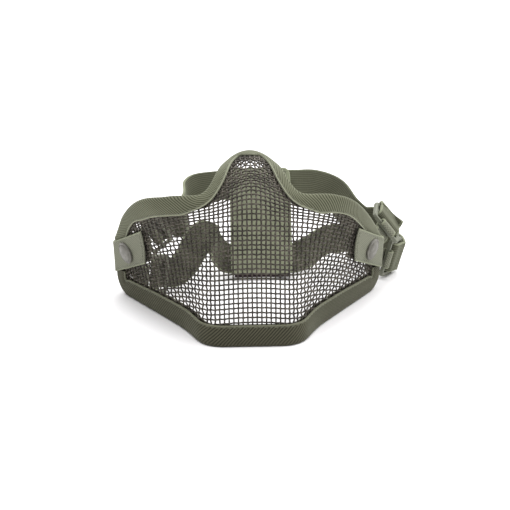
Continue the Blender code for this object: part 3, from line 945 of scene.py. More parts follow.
@dataclass
class EdgeBinding:
    """Webbing folded over a rim of the wire sheet and sewn through."""

    form: MaskForm
    finish: bpy.types.Material
    thread: bpy.types.Material
    upper: bool
    thick: float = 0.9 * MM
    near: float = 1.4 * MM
    flap: float = 12.5 * MM
    seam: float = 1.3 * MM
    stitch: float = 3.1 * MM
    tuck: float = 4 * MM

    def __post_init__(self) -> None:
        """Lay out the rim that the fold follows."""
        t, rim = self.rim_line()
        half = self.form.high_half_arc if self.upper else self.form.low_half_arc
        length = np.concatenate([[0.0], np.cumsum(np.hypot(np.diff(t * half), np.diff(rim)))])
        self.length = float(length[-1])
        even = RIM_SHARES * self.length
        self.line = np.stack([np.interp(even, length, t), np.interp(even, length, rim)], -1)
        window = 7 * MM if self.upper else 1.5 * MM
        low, high = np.maximum(even - window, 0), np.minimum(even + window, self.length)
        over = (np.interp(high, length, t) - np.interp(low, length, t)) * half
        rise = np.interp(high, length, rim) - np.interp(low, length, rim)
        size = np.hypot(over, rise) * (1 if self.upper else -1)
        self.inward = np.stack([rise / size / half, -over / size], -1)
        self.radius = self.near + self.thick / 2
        self.centre = self.radius + self.thick / 2

    def rim_line(self) -> tuple[np.ndarray, np.ndarray]:
        """Places along the rim, the lower one with its ends turned up under the tabs.

        Returns:
            Shares round the face, and metres up.
        """
        if self.upper:
            t = np.linspace(-1, 1, 2001)
            return t, self.form.upper_rim(t)
        corner, half = self.form.corner, self.form.low_half_arc
        turn = np.linspace(0, math.pi / 2, 60)
        t = np.concatenate([np.linspace(0, 1 - corner / half, 900),
                            1 - corner / half * (1 - np.sin(turn)), [1.0]])
        b = np.concatenate([np.zeros(900), corner * (1 - np.cos(turn)), [corner + self.tuck]])
        return np.concatenate([-t[::-1], t[1:]]), np.concatenate([b[::-1], b[1:]])

    @property
    def name(self) -> str:
        """The CAD node this strip stands for."""
        return "upper_binding" if self.upper else "lower_binding"

    @property
    def width(self) -> float:
        """Metres across the flat strip."""
        return 2 * (self.flap - self.centre) + math.pi * self.radius

    def reach(self, t: np.ndarray) -> np.ndarray:
        """How far each flap comes in from the rim.

        Args:
            t: Share round the face.

        Returns:
            Metres in from the rim.
        """
        side = np.abs(t)
        if self.upper:
            nose = ease(side, 0.03, 0.12) * (1 - ease(side, 0.26, 0.42))
            cheek = np.where(t > 0, ease(t, 0.4, 0.7), ease(-t, 0.72, 0.86))
            return self.flap - 4.8 * MM * nose - 3 * MM * cheek
        jaw = ease(side, 0.2, 0.4) * (1 - ease(side, 0.6, 0.9))
        return self.flap + 1.5 * MM * jaw - 1.5 * MM * ease(side, 0.86, 0.95)

    def spot(self, share: np.ndarray, out: np.ndarray, depth: np.ndarray) -> np.ndarray:
        """Place near the rim.

        Args:
            share: Share of the length.
            out: Metres out from the sheet.
            depth: Metres in from the rim.

        Returns:
            The points.
        """
        t, b = (np.interp(share, RIM_SHARES, self.line[:, part]) for part in (0, 1))
        aside, up = (np.interp(share, RIM_SHARES, self.inward[:, part]) for part in (0, 1))
        return self.form.place(np.clip(t + aside * depth, -1, 1), b + up * depth, out)

    def hug(self, depth: np.ndarray, reach: np.ndarray) -> np.ndarray:
        """How far out the middle of a flap lies, drawn in where it is sewn.

        Args:
            depth: Metres in from the rim.
            reach: Where the flap ends.

        Returns:
            Metres out from the sheet.
        """
        drawn = 0.35 * MM * ease(depth / reach, 0.55, 0.9)
        groove = 0.16 * MM * np.exp(-((reach - depth - self.seam) / (0.6 * MM)) ** 2)
        return self.radius - drawn - groove

    def lay(self, share: np.ndarray, over: np.ndarray) -> np.ndarray:
        """Place of each point of the flat strip.

        Args:
            share: Share of the length.
            over: Share of the width, from the front flap round to the rear one.

        Returns:
            The points.
        """
        t = np.interp(share, RIM_SHARES, self.line[:, 0])
        reach = self.reach(t)
        flat = self.flap - self.centre
        travel = over * self.width
        turn = np.clip((travel - flat) / self.radius, 0, math.pi)
        edge = np.minimum(travel, self.width - travel)
        depth = self.centre + (reach - self.centre) * (1 - np.clip(edge / flat, 0, 1))
        depth = np.where(edge < flat, depth, self.centre - self.radius * np.sin(turn) ** 0.75)
        face = np.where(travel < self.width / 2, 1.0, -1.0)
        corner = face * self.radius * np.abs(np.cos(turn)) ** 0.75
        out = np.where(edge < flat, face * self.hug(depth, reach), corner)
        pucker = np.sin(2 * math.pi * share * self.length / self.stitch)
        near_seam = np.exp(-((reach - depth - self.seam) / (1.2 * MM)) ** 2)
        out = out + face * 0.05 * MM * pucker * near_seam
        return self.spot(share, out, depth)

    def seams(self) -> list[tuple[np.ndarray, np.ndarray]]:
        """Stitches on both faces.

        Returns:
            Stitch centres and outward directions, one row to a face.
        """
        share = (np.arange(int(self.length / self.stitch)) + 0.5) * self.stitch / self.length
        t = np.interp(share, RIM_SHARES, self.line[:, 0])
        depth = self.reach(t) - self.seam
        rows = []
        for face in (1, -1):
            out = face * (self.hug(depth, self.reach(t)) + self.thick / 2 + 0.02 * MM)
            centre = self.spot(share, out, depth)
            rows.append((centre, unit(centre - self.spot(share, 0 * out, depth))))
        return rows

    def build(self) -> None:
        """Make the strip and its stitching."""
        strip = woven_strip(f"{self.name}_strip", (self.length, self.width),
                            (int(self.length / (0.8 * MM)), 40), self.lay, self.thick,
                            self.finish)
        sewn = stitches(f"{self.name}_stitches", self.seams(), self.thread)
        for piece in (strip, sewn):
            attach(piece, "mask")
            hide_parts(self.name)
            LOG.info("%s", piece.name)


@dataclass
class SideTab:
    """Canvas tab folded over a side rim, with its rivet."""

    form: MaskForm
    side: Side
    canvas: bpy.types.Material
    thread: bpy.types.Material
    cap_paint: bpy.types.Material
    long: float = 36 * MM
    rear: tuple[float, float] = (14 * MM, 37 * MM)
    front: tuple[float, float] = (33 * MM, 57 * MM)
    thick: float = 0.9 * MM
    inner: float = 2.6 * MM
    rivet: tuple[float, float] = (0.86, 34.5 * MM)
    cap_radius: float = 7 * MM

    @property
    def outer(self) -> float:
        """How far out the tab's outer face lies."""
        return self.inner + self.thick

    @property
    def radius(self) -> float:
        """Radius of the fold, at the middle of the canvas."""
        return self.inner + self.thick / 2

    def spot(self, depth: np.ndarray, height: np.ndarray, out: np.ndarray) -> np.ndarray:
        """Place at a depth forward of the side rim, a share up the tab, and a distance out."""
        t, b = self.at(depth, height)
        return self.form.place(t, b, out)

    def at(self, depth: np.ndarray, height: np.ndarray) -> tuple[np.ndarray, np.ndarray]:
        """Sheet place of a tab point.

        Args:
            depth: Metres forward of the side rim.
            height: Share up the tab.

        Returns:
            Shares round the face, and metres up.
        """
        along = np.clip(depth / self.long, 0, 1)
        low = self.rear[0] + (self.front[0] - self.rear[0]) * along
        high = self.rear[1] + (self.front[1] - self.rear[1]) * along
        arc = (self.form.low_half_arc + self.form.high_half_arc) / 2
        return self.side.value * (1 - depth / arc), low + (high - low) * height

    def drape(self, depth: np.ndarray, height: np.ndarray) -> np.ndarray:
        """How far the canvas sinks towards the wires between the bindings."""
        return (1.0 * MM * ease(depth, 14 * MM, 32 * MM)
                * np.sin(math.pi * np.clip(height, 0, 1)) ** 0.8)

    def lay(self, over: np.ndarray, height: np.ndarray) -> np.ndarray:
        """Place of each point of the flat canvas.

        Args:
            over: Share of the width, from the outer front edge round to the inner one.
            height: Share up the tab.

        Returns:
            The points.
        """
        centre = self.radius - 0.95 * MM
        flat = self.long - centre
        width = self.width
        travel = over * width
        edge = np.minimum(travel, width - travel)
        turn = np.clip((travel - flat) / self.radius, 0, math.pi)
        depth = np.where(edge < flat, self.long - edge, centre - self.radius * np.sin(turn))
        face = np.where(travel < width / 2, 1.0, -1.0)
        out = np.where(edge < flat, face * (self.radius - self.drape(depth, height)),
                       self.radius * np.cos(turn))
        return self.spot(depth, height, out)

    @property
    def width(self) -> float:
        """Metres across the flat canvas, from front edge round to front edge."""
        return 2 * (self.long - self.radius + 0.95 * MM) + math.pi * self.radius

    def seams(self) -> list[tuple[np.ndarray, np.ndarray]]:
        """Stitches along the front, upper and lower edges.

        Returns:
            Stitch centres and outward directions.
        """
        rows = []
        count = int(self.long / (2.9 * MM))
        for height in (0.08, 0.92):
            depth = (np.arange(count) + 0.7) / count * (self.long - 3 * MM)
            rows.append(self.seam_row(depth, np.full(count, height)))
        rise = np.linspace(0.14, 0.86, 8)
        rows.append(self.seam_row(np.full(8, self.long - 2 * MM), rise))
        return rows

    def seam_row(self, depth: np.ndarray, height: np.ndarray) -> tuple[np.ndarray, np.ndarray]:
        """One row of stitches on the outer face.

        Args:
            depth: Metres forward of the side rim.
            height: Share up the tab.

        Returns:
            Stitch centres and outward directions.
        """
        out = self.outer - self.drape(depth, height) + 0.08 * MM
        centre = self.spot(depth, height, out)
        return centre, self.form.normal(*self.at(depth, height))

    def rivet_parts(self) -> list[bpy.types.Object]:
        """The domed cap with its rolled rim, and the washer inside.

        Returns:
            Both pieces.
        """
        t, b = np.array(self.side.value * self.rivet[0]), np.array(self.rivet[1])
        centre, axis = Vector(self.form.point(t, b)), Vector(self.form.normal(t, b))
        seat = self.outer + GAP + 0.25 * MM
        rim = self.cap_radius
        cap = [(0, -seat - 1.4 * MM), (2 * MM, -seat - 1.4 * MM), (2 * MM, seat - 0.9 * MM),
               (rim - 0.5 * MM, seat - 0.9 * MM), (rim, seat - 0.4 * MM), (rim, seat + 0.1 * MM)]
        for step in range(1, 6):
            turn = step / 5 * math.pi / 2
            cap.append((rim - 0.7 * MM * (1 - math.cos(turn)), seat + 0.1 * MM
                        + 0.6 * MM * math.sin(turn)))
        cap.append((rim - 1.3 * MM, seat + 0.5 * MM))
        for step in range(8):
            turn = (step + 1) / 9 * math.pi / 2
            cap.append(((rim - 1.5 * MM) * math.cos(turn), seat + 0.55 * MM
                        + 1.2 * MM * math.sin(turn)))
        cap.append((0, seat + 1.8 * MM))
        bore, edge = 2.3 * MM, 5 * MM
        washer = [(bore, -seat), (bore, -seat - 1.0 * MM), (bore + 0.2 * MM, -seat - 1.2 * MM),
                  (edge - 0.3 * MM, -seat - 1.2 * MM), (edge, -seat - 0.9 * MM),
                  (edge, -seat), (bore, -seat)]
        word = self.side.word
        made = []
        for name, profile in (("rivet_cap", cap), ("rivet_washer", washer)):
            piece = turned_disc(f"{word}_{name}_steel", profile, centre, axis, self.cap_paint)
            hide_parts(f"{word}_{name}")
            made.append(piece)
        return made

    def build(self) -> None:
        """Make the canvas, its stitching and the rivet."""
        word = self.side.word
        canvas = woven_strip(f"{word}_tab_canvas", (self.width, 24 * MM), (92, 26), self.lay,
                             self.thick, self.canvas)
        sewn = stitches(f"{word}_tab_stitches", self.seams(), self.thread, 1.9 * MM, 0.22 * MM)
        for piece in (canvas, sewn):
            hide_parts(f"{word}_tab")
        for piece in (canvas, sewn, *self.rivet_parts()):
            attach(piece, "mask")
            LOG.info("%s", piece.name)


@dataclass
class BucklePlace:
    """Frame of one buckle, in millimetres as laid out: centre, bar and strap directions."""

    centre_mm: tuple[float, float, float]
    bar_way: tuple[float, float, float]
    strap_way: tuple[float, float, float]

    def __post_init__(self) -> None:
        """Square the directions up."""
        self.centre = Vector(self.centre_mm) * MM
        self.bar = Vector(self.bar_way).normalized()
        along = Vector(self.strap_way)
        self.strap = (along - along.dot(self.bar) * self.bar).normalized()
        self.face = self.bar.cross(self.strap)

    def at(self, bar: float, strap: float, face: float) -> Vector:
        """World place of buckle coordinates in metres."""
        return self.centre + self.bar * bar + self.strap * strap + self.face * face

    def loop(self, offset: float, radius: float, heading: int, face: int,
             steps: int = 26) -> list[Vector]:
        """Centre line of a strip's turn round a bar, from its loose end to where it leaves.

        Args:
            offset: The bar's distance from the middle bar.
            radius: Radius of the turn.
            heading: 1 when the strip leaves on the strap side, -1 on the mask side.
            face: The face of the buckle it leaves on.
            steps: Points on the turn.

        Returns:
            The points.
        """
        points = []
        for step in range(steps):
            turn = math.radians(250 * (1 - step / (steps - 1)))
            points.append(self.at(0, offset - heading * radius * math.sin(turn),
                                  face * radius * math.cos(turn)))
        return points


def smooth_path(points: list[np.ndarray], per_span: int = 10) -> np.ndarray:
    """Smooth curve through points.

    Args:
        points: The points, in order.
        per_span: Steps between two of them.

    Returns:
        The points of the curve.
    """
    pts = np.asarray(points, float)
    pts = np.vstack([2 * pts[0] - pts[1], pts, 2 * pts[-1] - pts[-2]])
    path = []
    for i in range(1, len(pts) - 2):
        p0, p1, p2, p3 = pts[i - 1:i + 3]
        for s in np.arange(per_span) / per_span:
            path.append(0.5 * (2 * p1 + (p2 - p0) * s + (2 * p0 - 5 * p1 + 4 * p2 - p3) * s ** 2
                               + (3 * p1 - p0 - 3 * p2 + p3) * s ** 3))
    path.append(pts[-2])
    return np.array(path)


@dataclass
class Ribbon:
    """A flat strip along a line."""

    name: str
    line: np.ndarray
    ways: np.ndarray
    width: float
    thick: float
    ribs: float = 0.0

    def __post_init__(self) -> None:
        """Measure the line and square the width directions to it."""
        steps = np.linalg.norm(np.diff(self.line, axis=0), axis=1)
        self.travel = np.concatenate([[0.0], np.cumsum(steps)])
        self.along = unit(np.gradient(self.line, axis=0))
        over = self.ways - (self.ways * self.along).sum(1, keepdims=True) * self.along
        self.over = unit(over)
        self.face = np.cross(self.along, self.over)

    @property
    def length(self) -> float:
        """Length of the line."""
        return float(self.travel[-1])

    def read(self, rows: np.ndarray, share: np.ndarray) -> np.ndarray:
        """Rows at each share of the length."""
        spot = share * self.length
        return np.stack([np.interp(spot, self.travel, rows[:, axis]) for axis in range(3)], -1)

    def lay(self, share: np.ndarray, across: np.ndarray) -> np.ndarray:
        """Place of each point of the flat strip, with its woven ribs.

        Args:
            share: Share of the length.
            across: Share of the width.

        Returns:
            The points.
        """
        aside = (across - 0.5) * self.width
        rib = 0.0
        if self.ribs:
            rib = 0.05 * MM * np.cos(2 * math.pi * aside / self.ribs)
        lift = self.read(self.face, share) * np.asarray(rib)[..., None]
        return self.read(self.line, share) + self.read(self.over, share) * aside[:, None] + lift

    def build(self, finish: bpy.types.Material) -> bpy.types.Object:
        """Make the strip.

        Args:
            finish: Its material.

        Returns:
            The new object.
        """
        per_rib = 4 if self.ribs else 1
        cells = (max(12, int(self.length / (1.0 * MM))),
                 int(self.width / (self.ribs or 1.2 * MM)) * per_rib)
        return woven_strip(self.name, (self.length, self.width), cells, self.lay, self.thick,
                           finish)

    def tack(self, backs: list[float], face: int, finish: bpy.types.Material) -> bpy.types.Object:
        """Rows of stitches across the strip.

        Args:
            backs: Each row's distance from the strip's far end.
            face: Which face they lie on.
            finish: Thread material.

        Returns:
            The stitches.
        """
        rows = []
        across = np.linspace(0.08, 0.92, int(self.width / (2.4 * MM)))
        for back in backs:
            share = np.full(len(across), 1 - back / self.length)
            lift = self.read(self.face, share) * face
            centre = self.lay(share, across) + lift * (self.thick / 2 + 0.08 * MM)
            rows.append((centre, lift))
        return stitches(f"{self.name}_tacks", rows, finish, 1.8 * MM, 0.24 * MM)


@dataclass
class Buckle:
    """Moulded frame with three bars; its strip ends turn round them."""

    key: str
    place: BucklePlace
    nylon: bpy.types.Material
    long: float = 26 * MM
    pitch: float = 7.5 * MM
    bar: float = 2.2 * MM
    rail: float = 2.4 * MM
    thick: float = 2.4 * MM

    def build(self) -> None:
        """Open two slots in a plate, thicken it and round every edge."""
        bm = bmesh.new()
        bmesh.ops.create_grid(bm, x_segments=3, y_segments=5, size=0.5)
        half = self.pitch + self.bar / 2
        cuts_x = (-self.long / 2, -self.long / 2 + self.rail, self.long / 2 - self.rail,
                  self.long / 2)
        inner = self.bar / 2
        cuts_y = (-half, -half + self.bar, -inner, inner, half - self.bar, half)
        for vert in bm.verts:
            column, row = round((vert.co.x + 0.5) * 3), round((vert.co.y + 0.5) * 5)
            vert.co = (cuts_x[column], cuts_y[row], 0)
        slots = [f for f in bm.faces if abs(f.calc_center_median().x) < 1e-6
                 and inner < abs(f.calc_center_median().y) < half - self.bar]
        bmesh.ops.delete(bm, geom=slots, context="FACES")
        raised = bmesh.ops.extrude_face_region(bm, geom=list(bm.faces))
        lifted = [v for v in raised["geom"] if isinstance(v, bmesh.types.BMVert)]
        bmesh.ops.translate(bm, verts=lifted, vec=(0, 0, self.thick))
        bmesh.ops.translate(bm, verts=bm.verts, vec=(0, 0, -self.thick / 2))
        bmesh.ops.recalc_face_normals(bm, faces=bm.faces)
        corners = [e for e in bm.edges if abs(e.verts[0].co.z - e.verts[1].co.z) > self.thick / 2
                   and all(abs(v.co.x) > self.long / 2 - 1e-6 and abs(v.co.y) > half - 1e-6
                           for v in e.verts)]
        bmesh.ops.bevel(bm, geom=corners, offset=2.5 * MM, offset_type="OFFSET", segments=6,
                        profile=0.5, affect="EDGES", material=-1)
        bmesh.ops.dissolve_limit(bm, angle_limit=0.01, verts=bm.verts, edges=bm.edges)
        edges = [e for e in bm.edges if e.calc_face_angle(0) > math.radians(40)]
        bmesh.ops.bevel(bm, geom=edges, offset=0.55 * MM, offset_type="OFFSET", segments=3,
                        profile=0.5, affect="EDGES", material=-1)
        basis = Matrix((self.place.bar, self.place.strap, self.place.face)).transposed()
        bmesh.ops.transform(bm, matrix=Matrix.Translation(self.place.centre) @ basis.to_4x4(),
                            verts=bm.verts)
        piece = shown(f"{self.key}_buckle_frame", bm, self.nylon, 35)
        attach(piece, f"{self.key}_buckle_body")
        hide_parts(f"{self.key}_buckle")
        LOG.info("%s", piece.name)


BUCKLES = {
    "right_upper": BucklePlace((90, 103, 38.5), (-0.57, -0.08, 0.75), (0.32, 0.93, 0.0)),
    "right_lower": BucklePlace((94, 106, 13.8), (0.25, 0.0, 0.96), (0.55, 0.83, 0.0)),
    "left_upper": BucklePlace((-62, 94, 38.5), (-0.6, 0.2, 0.77), (0.9, 0.35, 0.1)),
    "left_lower": BucklePlace((-60, 81, 13.8), (0.1, 0.05, 0.99), (0.9, 0.3, 0.0)),
}

# Strap routes in mm: each point with the direction of the strip's width.
STRAP_ROUTES = {
    "right_upper": [((93, 117, 37), (-0.5, 0.0, 0.85)), ((86, 123, 33), (-0.3, 0.0, 0.95)),
                    ((76, 124, 33), (0.25, 0.0, 0.95)), ((67, 126, 40), (0.5, 0.0, 0.85)),
                    ((59, 135, 49), (0.3, 0.2, 0.92)), ((46, 140.5, 53), (0.05, 0.45, 0.88)),
                    ((34, 142.2, 53), (0, 0.545, 0.838)), ((18, 142.2, 53), (0, 0.545, 0.838))],
    "right_lower": [((101, 120, 14), (0.1, 0.0, 0.98)), ((95, 130, 15), (0, 0.0, 0.98)),
                    ((82, 139, 17), (0, 0.05, 0.98)), ((66, 135, 17), (0, 0.1, 0.98)),
                    ((52, 127, 18), (0.05, 0.2, 0.97)), ((40, 117, 14), (0.15, 0.4, 0.9)),
                    ((31, 114.8, 10.5), (0, 0.545, 0.838)),
                    ((18, 114.8, 10.5), (0, 0.545, 0.838))],
    "left_upper": [((-43, 102, 41), (-0.3, 0, 0.95)), ((-41, 115, 46), (-0.1, 0.1, 0.98)),
                   ((-40, 128, 50), (0, 0.25, 0.96)), ((-33, 137, 52.5), (0, 0.4, 0.9)),
                   ((-22, 141, 53), (0, 0.5, 0.86)), ((-15, 142.2, 53), (0, 0.545, 0.838)),
                   ((0, 142.2, 53), (0, 0.545, 0.838))],
    "left_lower": [((-40, 91, 18), (-0.1, 0, 0.98)), ((-34, 95, 28), (-0.3, 0.1, 0.95)),
                   ((-29, 98, 33), (-0.1, 0.3, 0.95)), ((-22.5, 104, 28), (0.1, 0.35, 0.93)),
                   ((-20.5, 110, 20), (0.15, 0.45, 0.88)), ((-16, 114.4, 12.5), (0, 0.5, 0.86)),
                   ((-10, 114.8, 10.5), (0, 0.545, 0.838)), ((0, 114.8, 10.5), (0, 0.545, 0.838))],
}


@dataclass
class Suspension:
    """Keepers, buckles and straps that hang the harness on the mask."""

    form: MaskForm
    tabs: dict[Side, SideTab]
    canvas: bpy.types.Material
    elastic: bpy.types.Material
    nylon: bpy.types.Material
    thread: bpy.types.Material
    strap: tuple[float, float] = (20 * MM, 1.4 * MM)
    keeper: tuple[float, float] = (12 * MM, 1.2 * MM)

    def keeper_ribbon(self, key: str, side: Side, height: float) -> tuple[Ribbon, np.ndarray]:
        """Line of a keeper from its buckle bar to its root inside the tab.

        Args:
            key: Which keeper.
            side: Its side of the mask.
            height: Its share up the tab.

        Returns:
            The strip, and the place of its root.
        """
        place, tab = BUCKLES[key], self.tabs[side]
        out = -(tab.outer + 0.8 * MM + self.keeper[1] / 2)
        depths = np.array([7, 4.5, 2]) * MM
        b = np.full(3, tab.at(np.zeros(1), np.full(1, height))[1][0])
        t = tab.at(depths, np.full(3, height))[0]
        roots = list(self.form.place(t, b, np.full(3, out)))
        ups = list(unit(self.form.point(t, b + 5 * MM) - self.form.point(t, b - 5 * MM)))
        rear = unit(roots[-1] - roots[0])
        inward = -self.form.normal(np.array(side.value), np.array(tab.rear[0]))
        clear = (4 * MM, 6 * MM) if side is Side.LEFT else (1.5 * MM, 4 * MM)
        roots.append(roots[-1] + inward * clear[0] + rear * clear[1])
        ups.append(ups[-1])
        radius = 2.4 * MM + self.keeper[1] / 2
        turn = place.loop(-7.5 * MM, radius, -1, 1)
        leave = [np.array(place.at(0, -7.5 * MM - reach * MM, radius + lift * MM))
                 for reach, lift in ((2, 0), (4, 0.6))]
        bar = np.array(place.bar)
        line = np.vstack([np.array(turn), smooth_path(leave + roots[::-1])])
        ways = np.vstack([np.tile(bar, (len(turn), 1)), smooth_path([bar, bar] + ups[::-1])])
        return Ribbon(f"{key}_keeper_web", line, ways, *self.keeper), roots[0]

    def strap_ribbon(self, key: str) -> Ribbon:
        """Line of a strap from its turn round the middle bar to the back of the pad.

        Args:
            key: Which strap.

        Returns:
            The strip.
        """
        place = BUCKLES[key]
        face = -1 if place.centre.x > 0 else 1
        radius = 1.9 * MM + self.strap[1] / 2
        turn = place.loop(0.0, radius, 1, face)
        leave = (4, 7, 10) if face < 0 else (5, 10, 15)
        flat = [np.array(place.at(0, reach * MM, face * (radius + lift * MM)))
                for reach, lift in zip(leave, (0, 0.3, 0.35))]
        route = STRAP_ROUTES[key]
        bar = np.array(place.bar)
        line = smooth_path(flat + [np.array(p) * MM for p, _ in route])
        ways = smooth_path([bar] * 3 + [np.array(w, float) for _, w in route])
        return Ribbon(f"{key}_strap_elastic", np.vstack([np.array(turn), line]),
                      np.vstack([np.tile(bar, (len(turn), 1)), ways]), *self.strap, 1.25 * MM)

    def build_keeper(self, key: str, side: Side, height: float) -> None:
        """Make one keeper between the mask and the harness.

        Args:
            key: Which keeper.
            side: Its side of the mask.
            height: Its share up the tab.
        """
        ribbon, root = self.keeper_ribbon(key, side, height)
        piece = ribbon.build(self.canvas)
        place = BUCKLES[key]
        bar_end = root + 0.7 * (np.array(place.at(0, -12 * MM, 0)) - root)
        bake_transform(piece)
        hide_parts(f"{key}_keeper")
        LOG.info("%s: %.0f mm", piece.name, ribbon.length / MM)

    def build_strap(self, key: str) -> None:
        """Make one elastic strap and its tacks on the pad.

        Args:
            key: Which strap.
        """
        ribbon = self.strap_ribbon(key)
        piece = ribbon.build(self.elastic)
        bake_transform(piece)
        outward = ribbon.face[-1][1] > 0
        tacks = ribbon.tack([2.5 * MM, 8 * MM], 1 if outward else -1, self.thread)
        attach(tacks, "pad")
        for made in (piece, tacks):
            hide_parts(f"{key}_strap")
            LOG.info("%s", made.name)

    def build(self) -> None:
        """Make everything between the mask and the pad."""
        for side in Side:
            for level, height in (("upper", 0.81), ("lower", 0.19)):
                key = f"{side.word}_{level}"
                self.build_keeper(key, side, height)
                Buckle(key, BUCKLES[key], self.nylon).build()
                self.build_strap(key)


@dataclass
class HeadPad:
    """Puffed cloth pad round a foam core, leaning back on its lower edge."""

    cloth: bpy.types.Material
    foam: bpy.types.Material
    thread: bpy.types.Material
    lean: float = math.radians(33)
    wide: float = 42 * MM
    tall: float = 75 * MM
    thick: float = 7.4 * MM
    middle: float = 9 * MM
    foot_y: float = 100 * MM
    seam: float = 4 * MM
    puff: float = 1.6 * MM
    stitch: float = 2.8 * MM
    voxel: float = 1.6 * MM
    pressure: float = 4.0
    frames: int = 20

    def seat(self) -> Matrix:
        """Turn from the flat pad, upright on its foot, into its leaning place."""
        foot = Vector((self.middle, self.foot_y, self.thick * math.sin(self.lean)))
        return Matrix.Translation(foot) @ Matrix.Rotation(-self.lean, 4, "X")

    def block(self) -> bpy.types.Object:
        """Flat rounded block, a little smaller than the pad.

        Returns:
            The block.
        """
        bm = bmesh.new()
        bmesh.ops.create_cube(bm, size=1.0)
        size = (self.wide - 1.0 * MM, self.thick - 2.4 * MM, self.tall - 1.6 * MM)
        bmesh.ops.scale(bm, verts=bm.verts, vec=size)
        corners = [e for e in bm.edges if abs(e.verts[0].co.y - e.verts[1].co.y) > 1 * MM]
        bmesh.ops.bevel(bm, geom=corners, offset=5 * MM, offset_type="OFFSET", segments=6,
                        profile=0.5, affect="EDGES", material=-1)
        bmesh.ops.translate(bm, verts=bm.verts, vec=(0, self.thick / 2, self.tall / 2))
        return shown("head_pad", bm, self.cloth, 180)

    def sewn(self, x: np.ndarray, z: np.ndarray) -> np.ndarray:
        """1 on the sewn border line, fading to 0 beside it.

        Args:
            x: Metres across the flat pad.
            z: Metres up it.

        Returns:
            The share sewn.
        """
        aside = np.abs(np.abs(x) - (self.wide / 2 - self.seam))
        level = np.minimum(np.abs(z - self.seam), np.abs(self.tall - self.seam - z))
        within = (np.abs(x) < self.wide / 2 - self.seam + 1 * MM)
        high = (z > self.seam - 1 * MM) & (z < self.tall - self.seam + 1 * MM)
        away = np.where(high, aside, 1.0)
        away = np.minimum(away, np.where(within, level, 1.0))
        return np.exp(-(away / (1.1 * MM)) ** 2)

    def inflate(self, pad: bpy.types.Object) -> None:
        """Blow the cloth up inside its sewn border, then hold how far it may go.

        Args:
            pad: The block, changed here.
        """
        remesh = pad.modifiers.new("even", "REMESH")
        remesh.mode = "VOXEL"
        remesh.voxel_size = self.voxel
        settle(pad)
        before = np.array([v.co[:] for v in pad.data.vertices])
        group = pad.vertex_groups.new(name="border")
        held = self.sewn(before[:, 0], before[:, 2])
        for index, weight in enumerate(held):
            group.add([index], float(weight), "REPLACE")
        cloth = pad.modifiers.new("cloth", "CLOTH")
        cloth.settings.use_pressure = True
        cloth.settings.uniform_pressure_force = self.pressure
        cloth.settings.vertex_group_mass = "border"
        cloth.settings.effector_weights.gravity = 0
        cloth.settings.quality = 6
        scene = bpy.context.scene
        for frame in range(1, self.frames + 1):
            scene.frame_set(frame)
        settle(pad)
        after = np.array([v.co[:] for v in pad.data.vertices])
        scene.frame_set(1)
        shift = after - before
        far = np.linalg.norm(shift, axis=1, keepdims=True)
        capped = before + shift * np.minimum(1, self.puff / np.maximum(far, 1e-9))
        groove = self.sewn(before[:, 0], before[:, 2])[:, None]
        front = np.sign(before[:, 1:2] - self.thick / 2)
        capped[:, 1:2] -= front * groove * 0.5 * MM
        pad.vertex_groups.clear()
        for vert, place in zip(pad.data.vertices, capped):
            vert.co = place

    def face_at(self, pad: bpy.types.Object, x: float, z: float, way: int) -> Vector:
        """Point on the front or back face of the flat pad at (x, z)."""
        found = pad.ray_cast(Vector((x, self.thick / 2 + way * 0.03, z)), Vector((0, -way, 0)))
        return found[1] + Vector((0, way * 0.1 * MM, 0))

    def border(self, pad: bpy.types.Object, way: int) -> tuple[np.ndarray, np.ndarray]:
        """Stitches round the border of one face.

        Args:
            pad: The pad, still flat.
            way: -1 for the front face, 1 for the back.

        Returns:
            Stitch centres and outward directions.
        """
        x, low, high = self.wide / 2 - self.seam, self.seam, self.tall - self.seam
        path = [(-x, z) for z in np.arange(low, high, self.stitch)]
        path += [(over, high) for over in np.arange(-x, x, self.stitch)]
        path += [(x, z) for z in np.arange(high, low, -self.stitch)]
        path += [(over, low) for over in np.arange(x, -x, -self.stitch)]
        seat = self.seat()
        centres = [seat @ self.face_at(pad, over, z, way) for over, z in path]
        out = seat.to_3x3() @ Vector((0, way, 0))
        return np.array(centres), np.tile(np.array(out), (len(centres), 1))

    def build_foot(self) -> bpy.types.Object:
        """Foam that shows along the open lower edge.

        Returns:
            The foam.
        """
        bm = bmesh.new()
        bmesh.ops.create_cube(bm, size=1.0)
        bmesh.ops.scale(bm, verts=bm.verts, vec=(self.wide - 6 * MM, 4.4 * MM, 3 * MM))
        bmesh.ops.translate(bm, verts=bm.verts, vec=(0, self.thick / 2, 1.5 * MM))
        bmesh.ops.subdivide_edges(bm, edges=bm.edges, cuts=3, use_grid_fill=True)
        bmesh.ops.bevel(bm, geom=[e for e in bm.edges if e.calc_face_angle(0) > 1], segments=3,
                        offset=0.8 * MM, offset_type="OFFSET", profile=0.5, affect="EDGES",
                        material=-1)
        bmesh.ops.transform(bm, matrix=self.seat(), verts=bm.verts)
        return shown("head_pad_foam_edge", bm, self.foam, 60)

    def build(self) -> None:
        """Make the puffed pad, its border stitches and the foam at its foot."""
        pad = self.block()
        self.inflate(pad)
        bpy.context.view_layer.update()
        rows = [self.border(pad, -1), self.border(pad, 1)]
        pad.data.transform(self.seat())
        smooth = pad.modifiers.new("smooth", "SUBSURF")
        smooth.levels = 1
        smooth.render_levels = 1
        settle(pad)
        pad.data.shade_smooth()
        sewn = stitches("head_pad_stitches", rows, self.thread, 2.0 * MM, 0.25 * MM)
        foot = self.build_foot()
        for piece, finish in ((pad, "pad"), (sewn, "pad"), (foot, "foam")):
            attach(piece, "pad")
            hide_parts("pad_front", "pad_foam", "pad_back")
            LOG.info("%s", piece.name)


